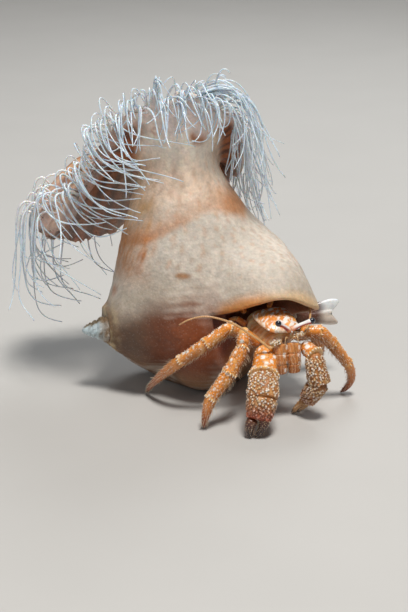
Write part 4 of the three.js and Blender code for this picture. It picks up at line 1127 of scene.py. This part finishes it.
def body_loft(rows, rings, sides, relief):
    """Ovals across the body. rows: [forward, half width, top, bottom]. relief(f, a, wide) swells them."""
    table = np.array(rows, float)[::-1]
    f = table[0, 0] + (table[-1, 0] - table[0, 0]) * (0.5 - 0.5 * np.cos(np.linspace(0, np.pi, rings)))
    wide, top, bottom = smooth_rows(table, f).T
    ends = np.sqrt(np.clip(np.minimum(f - f[0], f[-1] - f) / 0.9, 0.02, 1))
    ff, aa = round_grid(f, sides)
    out = relief(ff, aa, wide[:, None])
    w, h = (wide * ends)[:, None] + out, ((top - bottom) / 2 * ends)[:, None] + out
    return in_body(ff, w * np.cos(aa), ((top + bottom) / 2)[:, None] + h * np.sin(aa)), ff, aa


def shield_relief(f, a, wide):
    """A cross groove, two lengthwise swellings, and rows of low knobs."""
    x = wide * np.cos(a)
    groove = -0.28 * np.exp(-((f + 2.2 - 0.06 * x ** 2) / 0.45) ** 2)
    swell = 0.22 * np.exp(-((np.abs(x) - 1.9) / 1.1) ** 2) * ramp(f, -2, 1)
    knobs = 0.05 * np.sin(3.1 * f + 1.7 * x) * np.sin(3.4 * x - 1.2 * f)
    return (groove + swell + knobs) * ramp(np.sin(a), 0, 0.4)


def shield_colour(grid, f):
    """Orange, broken by large white marks, one of them behind the middle point, and cream round the edge."""
    l = (grid - SHIELD_CENTRE) @ LEFT
    c = mix(srgb(222, 134, 60), srgb(238, 164, 88), ramp(waves(grid, 1.0, 31), -0.6, 0.8))
    marks = ramp(waves(grid, 3.9, 33, 2) + 0.3 * waves(grid, 1.2, 34), 0.06, 0.3)
    middle = np.exp(-((f - 3.4) / 0.9) ** 2 - ((l + 0.6) / 1.0) ** 2) + 0.2 * waves(grid, 2.2, 36)
    c = mix(c, ORANGE["white"], 0.92 * np.maximum(marks, ramp(middle, 0.4, 0.6)))
    c = mix(c, srgb(238, 214, 186), 0.8 * ramp(f, 4.3, 5.2))
    return mix(c, srgb(220, 190, 156), 0.85 * ramp(np.abs(l), 4.1, 4.9))


grid, ff, aa = body_loft(SHIELD_ROWS, 72, 96, shield_relief)
points = np.array([  # forward, left, up, length, half width
    [5.3, 0, 1, 1, 0.7], [4.6, 2.3, 0.9, 0.9, 0.45], [4.6, -2.3, 0.9, 0.9, 0.45], [3.3, 4.1, 1, 0.7, 0.4],
    [3.3, -4.1, 1, 0.7, 0.4]]).T
ahead = np.tile(unit(FORWARD + 0.15 * DORSAL), (5, 1))
front = cones(in_body(*points[:3]), ahead, points[3], points[4], srgb(232, 200, 164), ORANGE["white"], 12)
make_object("shield_piece", *join([one_tube(grid, shield_colour(grid, ff)), front]), "shield", ("shield",))

# %% [markdown]
# ## The soft body and the hidden legs
# The soft body hangs below the shield, and the belly is a taper that follows the coil of the room inside.
# The two small hind pairs of legs brace the crab in the shell. Little of all this is seen, so it is plain,
# but it fills the doorway as the living crab does.
# %% Body, belly and hind legs
def folds(f, a, wide):
    """Low folds across the flanks."""
    return 0.12 * np.sin(4.2 * f + 2 * np.cos(a)) * np.abs(np.cos(a))


grid, ff, aa = body_loft(THORAX_ROWS, 60, 72, folds)
c = mix(srgb(220, 158, 92), srgb(240, 212, 164), ramp(waves(grid, 2.2, 35), -0.5, 0.7))
c = mix(c, srgb(214, 136, 70), 0.7 * ramp(-np.sin(aa), 0.2, 0.8))
c = mix(c, srgb(236, 214, 184), 0.5 * ramp(np.sin(5.2 * ff + 2 * aa), 0.4, 1))
make_object("thorax_piece", *one_tube(grid, c), "soft_body", ("thorax",))

turns = np.linspace(-48, -228, 60)
g = TURN_GROWTH ** (turns / 360)
path = on_coil(44.5 * g, 15.7 * g, np.radians(LIP_ANGLE + turns))
s = np.linspace(0, 1, 60)
radius = (4.6 - 2.8 * s) * (1 + 0.03 * np.sin(30 * s)) * ramp(s, -0.04, 0.05) * ramp(1 - s, -0.02, 0.08)
belly, _ = bent_part(path, radius, SHELL_AXES[:, 0], 1.0, mix(srgb(206, 150, 110), srgb(176, 104, 70), s), 36)
make_object("belly_piece", *belly, "soft_body", ("belly",))

HIND = {
    "leg3_right": [(-5.5, -4.6, -2.5), (-7.5, -6.2, -1.4), (-10, -6.6, -3.2)],
    "leg3_left": [(-5.5, 4.6, -2.5), (-7.5, 6.6, -1.4), (-10, 7.4, -3.2)],
    "leg4_right": [(-8, -3.4, -0.6), (-10, -5.4, 1.2), (-12.4, -6, 0.4)],
    "leg4_left": [(-8, 3.4, -0.6), (-10, 5.4, 1.2), (-12.4, 6, 0.4)],
}
for number, (name, rows) in enumerate(HIND.items()):
    joints = [in_body(*row) for row in rows]
    parts = []
    for i, wide in enumerate([(0.75, 0.68), (0.62, 0.4)]):
        parts.append(stretch_part(joints[i], joints[i + 1], DORSAL, wide, wide, rings=20, sides=16,
                                  seed=400 + 10 * i + number, look=dict(spots=0.4)))
    make_object(f"{name}_piece", *join(parts), "soft_body", (name,))

# %% [markdown]
# ## The eyes
# The eyes are glossy blue-black beads on slender stalks that are white above and red below. A sphere from
# the menu would do for a bead, but turning a half circle round the stalk's own direction lines its poles up
# with it.
# %% Eyes
EYES = {"right": dict(base=(20.6, -12.6, 23.4), eye=RIGHT_EYE),
        "left": dict(base=(21.6, -12.2, 23.5), eye=(26.3, -11.6, 25.4))}
for name, e in EYES.items():
    base, eye = np.array(e["base"], float), np.array(e["eye"], float)
    axis = unit(eye - base)
    s = np.linspace(0, 1, 26)
    path = base - 0.3 * axis + (eye - base + 0.05 * axis) * s[:, None]
    path += np.outer(0.18 * np.sin(np.pi * s), UP)
    radius = 0.56 + 0.16 * (1 - s) ** 2 + 0.12 * ramp(s, 0.6, 1) - 0.08 * np.sin(np.pi * s)
    grid = tube_grid(path[None], radius[None], 24, flat=UP)[0]
    lift = ((grid - path[:, None]) @ UP) / radius[:, None]
    c = mix(srgb(176, 44, 30), srgb(242, 236, 232), ramp(lift, -0.15, 0.25))
    c = mix(c, srgb(226, 140, 70), (0.8 * ramp(1 - s, 0.72, 0.95))[:, None] * np.ones(24))
    make_object(f"eyestalk_{name}_piece", *one_tube(grid, c), "eyestalk", (f"eyestalk_{name}",))
    u, spin = np.linspace(0.02, np.pi - 0.02, 36)[:, None, None], circle(48)[:, None]
    side = unit(np.cross(axis, UP))
    ring = np.cos(spin) * side + np.sin(spin) * np.cross(side, axis)
    ball = eye - 0.80 * np.cos(u) * axis + 0.76 * np.sin(u) * ring
    blue_black = np.broadcast_to(srgb(14, 16, 34), ball.shape)
    make_object(f"eye_{name}_piece", *one_tube(ball, blue_black), "eye", (f"eye_{name}",))

# %% [markdown]
# ## The feelers
# The long feelers rise from three jointed cups and sway back, ringed along their length. A curve object
# with a bevel would give the sway, but a grid lets each ring swell and change its colour.
# %% Feelers
def through(points, steps):
    """A smooth path through points, evenly numbered."""
    p = np.array(points, float)
    x = np.arange(len(p)) / (len(p) - 1)
    return smooth_rows(np.column_stack([x, p]), np.linspace(0, 1, steps))


FEELERS = {
    "feeler_right": [(17.6, -13.6, 20.4), (16, -14.8, 19.6), (14, -15.4, 21.3), (11.1, -16, 23.6),
                     (7.5, -16.4, 26.2), (3.8, -16.8, 27.8), (0.2, -17, 28.5), (-3.4, -16.6, 27.6),
                     (-6, -16, 26)],
    "feeler_left": [(22.6, -11.6, 21.6), (24.2, -11.4, 21.8), (25.4, -9.4, 23), (26.2, -6, 24.4),
                    (26.2, -2.4, 25.6), (25.4, 1.2, 26.8), (24, 4.6, 27.6)],
    "small_feeler_right": [(20.4, -12.9, 21.4), (19.9, -14.6, 22.2), (19.6, -15.6, 20.6)],
    "small_feeler_left": [(21.9, -12.7, 21.4), (22.6, -14.3, 22.2), (23, -15.2, 20.6)],
}
FACE = np.array([19.9, -10.5, 20.6])
CUPS = [(0.0, 1.24, 0.85), (1.0, 2.0, 0.66), (1.9, 3.0, 0.5)]
CUP_LOOK = dict(low=srgb(196, 150, 98), high=srgb(222, 184, 130), spots=0.6)
for name, points in FEELERS.items():
    small = name.startswith("small")
    thick, steps, count = (0.17, 40, 12) if small else (0.36, 220, 70)
    s = np.linspace(0, 1, steps)
    rings = np.sin(2 * np.pi * s * count)
    tint = mix(srgb(212, 168, 112), srgb(190, 142, 98), ramp(s, 0.05, 0.8))
    tint = mix(tint, srgb(226, 196, 150), 0.5 * (rings > 0.5))
    body, _ = bent_part(through(points, steps), thick * (1 - 0.5 * s) * (1 + 0.06 * rings), UP, 1.0, tint, 10)
    parts = [body]
    if not small:
        first = np.array(points[0], float)
        out = unit(first - FACE)
        root = first - 1.6 * out
        for k, (a, b, r) in enumerate(CUPS):
            taper = (r, r * 0.9)
            parts.append(stretch_part(root + out * a, root + out * b, UP, taper, taper, rings=16, sides=20,
                                      seed=500 + k, scales=3, relief=0.04, grain=(0.5, 0.18, 0.11),
                                      hair=(0.35, 1.0), teeth=5, look=CUP_LOOK))
    make_object(f"{name}_piece", *join(parts), "feeler", (name,))

# %% [markdown]
# ## The mouthparts
# The outer mouthparts hang below the face like a small pair of legs, striped orange and white and thickly
# fringed. They are tapers with shallow grooves for joints, because the fringe hides the rest.
# %% Mouthparts
MOUTHPARTS = {
    "mouthpart_right": [(18.9, -11.8, 19.6), (18.8, -12.8, 17.0), (18.8, -13.5, 14.6), (19.0, -13.6, 12.2)],
    "mouthpart_left": [(22.0, -11.0, 19.6), (22.0, -12.0, 17.0), (22.1, -12.6, 14.6), (22.2, -12.7, 12.2)],
}
for number, (name, points) in enumerate(MOUTHPARTS.items()):
    path = through(points, 70)
    s = np.linspace(0, 1, 70)
    joint = np.exp(-((np.mod(3 * s + 0.5, 1) - 0.5) / 0.07) ** 2)
    radius = (2.05 - 0.5 * s) * (1 - 0.1 * joint) * np.minimum(1, np.sqrt(np.minimum(s, 1 - s) / 0.06) + 0.1)
    # Painted shade: each mouthpart darkens from orange to brown towards its lower end.
    tint = mix(srgb(206, 132, 64), srgb(158, 84, 34), s)
    (verts, quads, tris, colour), (grid, ss, aa) = bent_part(path, radius, FORWARD, 0.8, tint, 40)
    squares = soft_squares(ss, aa, 7.4, 1.5, 1, 600 + number, (0.5, 0.3), np.pi / 2 + 0.3)
    colour[:-2] = mix(colour[:-2], ORANGE["white"], 0.85 * squares.ravel())
    stripe = ramp(np.sin(9 * (verts @ LEFT) + 0.5 * waves(verts, 0.8, 610)), 0, 0.9)
    HAIR_ROOTS.append((grid, ss, (0.48, 1.9), 620 + number))
    colour = mix(colour, srgb(234, 180, 120), 0.45 * stripe)
    make_object(f"{name}_piece", verts, quads, tris, colour, "mouthpart", (name,))

# %% [markdown]
# ## Bristles
# Bristles are thin curved spikes in rows and tufts on the limbs, longest under the legs and round the mouth
# and shortest on the feet. A hair system could grow them, but as one mesh of three-sided spikes they keep
# their shape everywhere. Its map gives each bristle a small patch where its root would lie if the limbs
# were unrolled side by side: length one way, angle the other.
# %% Bristles
BRISTLE_TAPER = np.array([1, 0.9, 0.7, 0.45, 0.12])
BRISTLE_RINGS, BRISTLE_SIDES = len(BRISTLE_TAPER), 3
BRISTLE_POINTS = BRISTLE_RINGS * BRISTLE_SIDES + 2
CELLS = int(np.ceil(np.sqrt(len(HAIR_ROOTS))))


def limb_bristles(grid, tt, spacing, longest, seed):
    """Paths, half thicknesses and root places (t, share of a turn) of the bristles on one tube."""
    rng = np.random.default_rng(1000 + seed)
    p, n, along, t, a, _ = scatter(grid, tt, spacing * (1), rng, back=-2, ends=(0.08, 0.93))
    keep = rng.uniform(0, 1, len(p)) < 0.35 + 0.65 * ramp(-np.sin(a), -0.4, 0.7)
    p, n, along, t, a = p[keep], n[keep], along[keep], t[keep], a[keep]
    length = longest * rng.uniform(0.4, 1.0, len(p))
    length = length * (0.5 + 0.5 * ramp(-np.sin(a), -0.3, 0.6)) * (1.15 - 0.5 * t)
    lean = (0.7 + 0.3 * rng.normal(size=len(p)))[:, None] * along
    heading = unit(n + lean + 0.15 * rng.normal(size=p.shape))
    s = np.linspace(0, 1, BRISTLE_RINGS)[None, :, None]
    curl = 0.35 * (along - 0.2 * n)
    bend = heading[:, None] * s + curl[:, None] * s * s
    path = p[:, None] - 0.08 * n[:, None] + length[:, None, None] * bend
    path[..., 2] = np.maximum(path[..., 2], 0.1)
    return path, rng.uniform(0.05, 0.08, len(p))[:, None] * BRISTLE_TAPER, np.stack([t, a / (2 * np.pi)], -1)


made = []
for k, (grid, tt, (spacing, longest), seed) in enumerate(HAIR_ROOTS):
    path, radii, place = limb_bristles(grid, tt, spacing, longest, seed)
    made.append((path, radii, (np.array([k % CELLS, k // CELLS]) + 0.06 + 0.88 * place) / CELLS))
paths, radii, places = (np.concatenate(column) for column in zip(*made))
flat = unit(np.cross(paths[:, -1] - paths[:, 0], [0.2, 0.5, 0.8]))
tone = np.repeat(RNG.uniform(0, 1, len(paths)), BRISTLE_POINTS)
tip = ring_values([0, 0.2, 0.5, 0.8, 1], BRISTLE_SIDES, len(paths))
tint = mix(mix(srgb(186, 128, 72), srgb(214, 176, 128), tone), srgb(232, 216, 190), tip)
spikes = tube_grid(paths, radii, BRISTLE_SIDES, flat=flat)
hair = make_object("bristles", *closed_tubes(spikes), tint, "leg", ())
loops = np.empty(len(hair.data.loops), np.int32)
hair.data.loops.foreach_get("vertex_index", loops)
owner, corner = loops // BRISTLE_POINTS, loops % BRISTLE_POINTS
patch = 0.0015 * np.stack([np.cos(corner * 2.1), np.sin(corner * 2.1)], -1)
bake_map = hair.data.uv_layers.new(name="OFBake")
bake_map.data.foreach_set("uv", (places[owner] + patch).astype(np.float32).ravel())
print("bristles:", len(paths), "on", len(HAIR_ROOTS), "limb parts")

# %% [markdown]
# ## Materials
# One builder makes them all, because they are one family: the vertex colours are broken up by noise and by
# small cells, the roughness varies a little, and bumps give each surface its own touch, soft and fine on
# the anemone, pitted on the limbs, faceted on the eyes. What is the same all over a surface is set on the
# shader itself.
# %% Material builder
def node(tree, kind, sockets, **settings):
    """Adds a shader node. Each socket is given a number, or the output of another node to link to."""
    made = tree.nodes.new("ShaderNode" + kind)
    for name, value in settings.items():
        setattr(made, name, value)
    return fill(tree, made, sockets)


def fill(tree, made, sockets):
    """Sets or links sockets by name or number."""
    for key, value in sockets.items():
        if isinstance(value, bpy.types.NodeSocket):
            tree.links.new(value, made.inputs[key])
        else:
            made.inputs[key].default_value = value
    return made.outputs


def surface(name, rough, grain, cell, fleck, bump, coat, soft, clear, fleck_colour):
    """A material. grain and cell are sizes in mm, fleck the share of pale flecks, bump a height in mm, and
    coat, soft and clear how much varnish, depth and clearness it has."""
    m = bpy.data.materials.new(name)
    m.use_nodes = True
    tree = m.node_tree
    place = node(tree, "TexCoord", {})["Object"]
    tint = node(tree, "Attribute", {}, attribute_name="tint")["Color"]
    noise = node(tree, "TexNoise", {
        "Vector": place, "Scale": 1000 / grain, "Detail": 5, "Roughness": 0.65})["Fac"]
    cells = node(tree, "TexVoronoi", {"Vector": place, "Scale": 1000 / cell})["Distance"]
    shade = node(tree, "MapRange", {
        "Value": noise, "From Min": 0.3, "From Max": 0.7, "To Min": 0.80, "To Max": 1.12})
    mottled = node(tree, "VectorMath", {0: tint, "Scale": shade["Result"]}, operation="SCALE")
    spots = node(tree, "MapRange", {"Value": cells, "From Min": 0.34, "From Max": 0.12, "To Max": fleck})
    colour = node(tree, "Mix", {"Factor": spots["Result"], "A": mottled["Vector"], "B": (*fleck_colour, 1)},
                  data_type="RGBA")
    gloss = node(tree, "MapRange", {"Value": noise, "To Min": rough - 0.1, "To Max": rough + 0.12})
    height = node(tree, "Math", {0: noise, 1: cells}, operation="ADD")
    bumps = node(tree, "Bump", {"Strength": 0.8, "Distance": bump / 1000, "Height": height["Value"]})
    fill(tree, tree.nodes["Principled BSDF"], {
        "Base Color": colour["Result"], "Roughness": gloss["Result"], "Normal": bumps["Normal"],
        "Coat Weight": coat, "Coat Roughness": 0.12, "Subsurface Weight": soft,
        "Subsurface Radius": (1.0, 0.55, 0.35), "Subsurface Scale": 0.0016, "Transmission Weight": clear})
    return m


def plain(name, colour, rough):
    """A quiet surface with faint noise."""
    m = bpy.data.materials.new(name)
    m.use_nodes = True
    tree = m.node_tree
    noise = node(tree, "TexNoise", {"Vector": node(tree, "TexCoord", {})["Object"], "Scale": 30})["Fac"]
    blend = node(tree, "Mix", {"Factor": noise, "A": (*(colour * 0.97), 1), "B": (*(colour * 1.03), 1)},
                 data_type="RGBA")
    fill(tree, tree.nodes["Principled BSDF"], {"Base Color": blend["Result"], "Roughness": rough})
    return m


print("materials read the colour attribute of", len(PIECES), "pieces")

# %% [markdown]
# ## The finishes
# Each line is one finish. Flesh has much depth under its surface, the hard plates have a thin varnish, and
# only the tentacles let some light through.
# %% Finishes
FINISHES = {  # roughness, grain, cell, fleck, bump, coat, soft, clear, colour of the flecks
    "anemone": (0.58, 1.3, 0.7, 0.07, 0.10, 0.0, 0.35, 0, (0.9, 0.82, 0.72)),
    "tentacle": (0.28, 1.5, 0.5, 0.06, 0.02, 0.3, 0.5, 0.1, (0.95, 0.97, 1)),
    "spire": (0.62, 1.2, 0.5, 0.2, 0.15, 0, 0.05, 0, (0.8, 0.82, 0.8)),
    "canal": (0.35, 1.6, 0.6, 0.08, 0.05, 0.3, 0.15, 0, (0.95, 0.95, 0.93)),
    "old_shell": (0.30, 3.0, 1.0, 0.05, 0.05, 0.4, 0.1, 0, (0.5, 0.3, 0.2)),
    "shield": (0.36, 1.4, 0.85, 0.7, 0.08, 0.35, 0.12, 0, (0.93, 0.84, 0.72)),
    "leg": (0.38, 1.2, 0.95, 0.7, 0.08, 0.3, 0.12, 0, (0.93, 0.82, 0.68)),
    "arm": (0.38, 1.2, 1.0, 0.6, 0.08, 0.3, 0.12, 0, (0.93, 0.82, 0.68)),
    "claw": (0.42, 1.0, 0.36, 0.28, 0.10, 0.25, 0.1, 0, (0.9, 0.78, 0.62)),
    "dactyl": (0.34, 1.4, 0.4, 0.12, 0.05, 0.35, 0.15, 0, (0.9, 0.7, 0.5)),
    "finger": (0.36, 1.2, 0.4, 0.10, 0.06, 0.35, 0.05, 0, (0.7, 0.45, 0.35)),
    "soft_body": (0.40, 1.6, 0.6, 0.15, 0.10, 0.25, 0.35, 0, (0.9, 0.8, 0.66)),
    "eyestalk": (0.30, 0.8, 0.3, 0.12, 0.03, 0.4, 0.15, 0, (0.95, 0.9, 0.88)),
    "eye": (0.14, 0.9, 0.09, 0.30, 0.012, 1.0, 0, 0, (0.02, 0.03, 0.09)),
    "feeler": (0.36, 1.0, 0.3, 0.10, 0.03, 0.3, 0.3, 0, (0.9, 0.75, 0.5)),
    "mouthpart": (0.40, 1.0, 0.35, 0.2, 0.06, 0.25, 0.25, 0, (0.95, 0.85, 0.7)),
}
MATERIALS = {name: surface(name, *finish) for name, finish in FINISHES.items()}
for piece, slot, nodes in PIECES.values():
    piece.data.materials.append(MATERIALS[slot])
    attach(piece, "root")
    if nodes:
        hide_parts(*nodes)
print(len(PIECES), "pieces in", len(MATERIALS), "finishes")

# %% [markdown]
# ## The floor
# A pale floor curves up behind the model, like a hung sheet of paper, so that no edge shows behind it. Its
# profile is a few points with a smooth line through them.
# %% Floor
PROFILE = np.array([[-1.2, 0], [1.2, 0], [1.7, 0.03], [2.1, 0.16], [2.4, 0.45], [2.5, 0.9], [2.5, 1.6]])
rows, columns = 60, 24
line = smooth_rows(np.column_stack([np.linspace(0, 1, len(PROFILE)), PROFILE]), np.linspace(0, 1, rows))
line[:, 1] = np.maximum(line[:, 1], 0) - 0.0002
x, y = np.meshgrid(np.linspace(-2.4, 2.4, columns), line[:, 0])
z = np.repeat(line[:, 1:], columns, axis=1)
a = (np.arange(rows - 1)[:, None] * columns + np.arange(columns - 1)).ravel()
faces = np.stack([a, a + 1, a + columns + 1, a + columns], -1)
floor_mesh = bpy.data.meshes.new("floor")
floor_mesh.from_pydata(np.stack([x, y, z], -1).reshape(-1, 3).tolist(), [], faces.tolist())
floor_mesh.shade_smooth()
floor_mesh.materials.append(plain("floor", np.array([0.50, 0.49, 0.47]), 0.75))
floor = bpy.data.objects.new("floor", floor_mesh)
bpy.context.scene.collection.objects.link(floor)
print("floor:", len(faces), "faces")

# %% [markdown]
# ## Light and camera
# One soft lamp hangs high in front, a weak one stands at the left and one behind, so that shapes and pale
# tentacles both read. The camera looks down a little from in front, through a long lens, so that near claws
# are not made larger than they are.
# %% Light and camera
def lamp(name, place, size, power, colour):
    """A square soft lamp that faces the model's middle; metres and watts."""
    light = bpy.data.lights.new(name, "AREA")
    light.size = size
    light.energy = power
    light.color = colour
    o = bpy.data.objects.new(name, light)
    o.location = place
    o.rotation_euler = (Vector((0, 0, 0.03)) - Vector(place)).to_track_quat("-Z", "Y").to_euler()
    bpy.context.scene.collection.objects.link(o)


lamp("key", (0.11, -0.32, 0.98), 0.22, 10.8, (1.0, 0.97, 0.93))
lamp("fill", (-0.45, -0.40, 0.25), 0.4, 0.5, (0.93, 0.96, 1.0))
lamp("back", (0.10, 0.40, 0.45), 0.3, 1.2, (0.95, 0.98, 1.0))
world = bpy.context.scene.world or bpy.data.worlds.new("world")
bpy.context.scene.world = world
world.use_nodes = True
fill(world.node_tree, world.node_tree.nodes["Background"], {"Color": (0.80, 0.84, 0.90, 1), "Strength": 0.13})

TILT, DISTANCE, AIM = np.radians(20), 425, 25
lens = bpy.data.cameras.new("camera")
lens.lens = 100
lens.sensor_width = 36
lens.sensor_height = 36
lens.sensor_fit = "VERTICAL"
camera = bpy.data.objects.new("camera", lens)
eye_point = np.array([0, -DISTANCE * np.cos(TILT), AIM + DISTANCE * np.sin(TILT)])
camera.location = Vector((eye_point + SHIFT) / 1000)
camera.rotation_euler = (np.pi / 2 - TILT, 0, 0)
bpy.context.scene.collection.objects.link(camera)
bpy.context.scene.camera = camera
bpy.context.scene.view_settings.view_transform = "Standard"
print("camera", DISTANCE, "mm away, looking down", round(np.degrees(TILT)), "degrees")
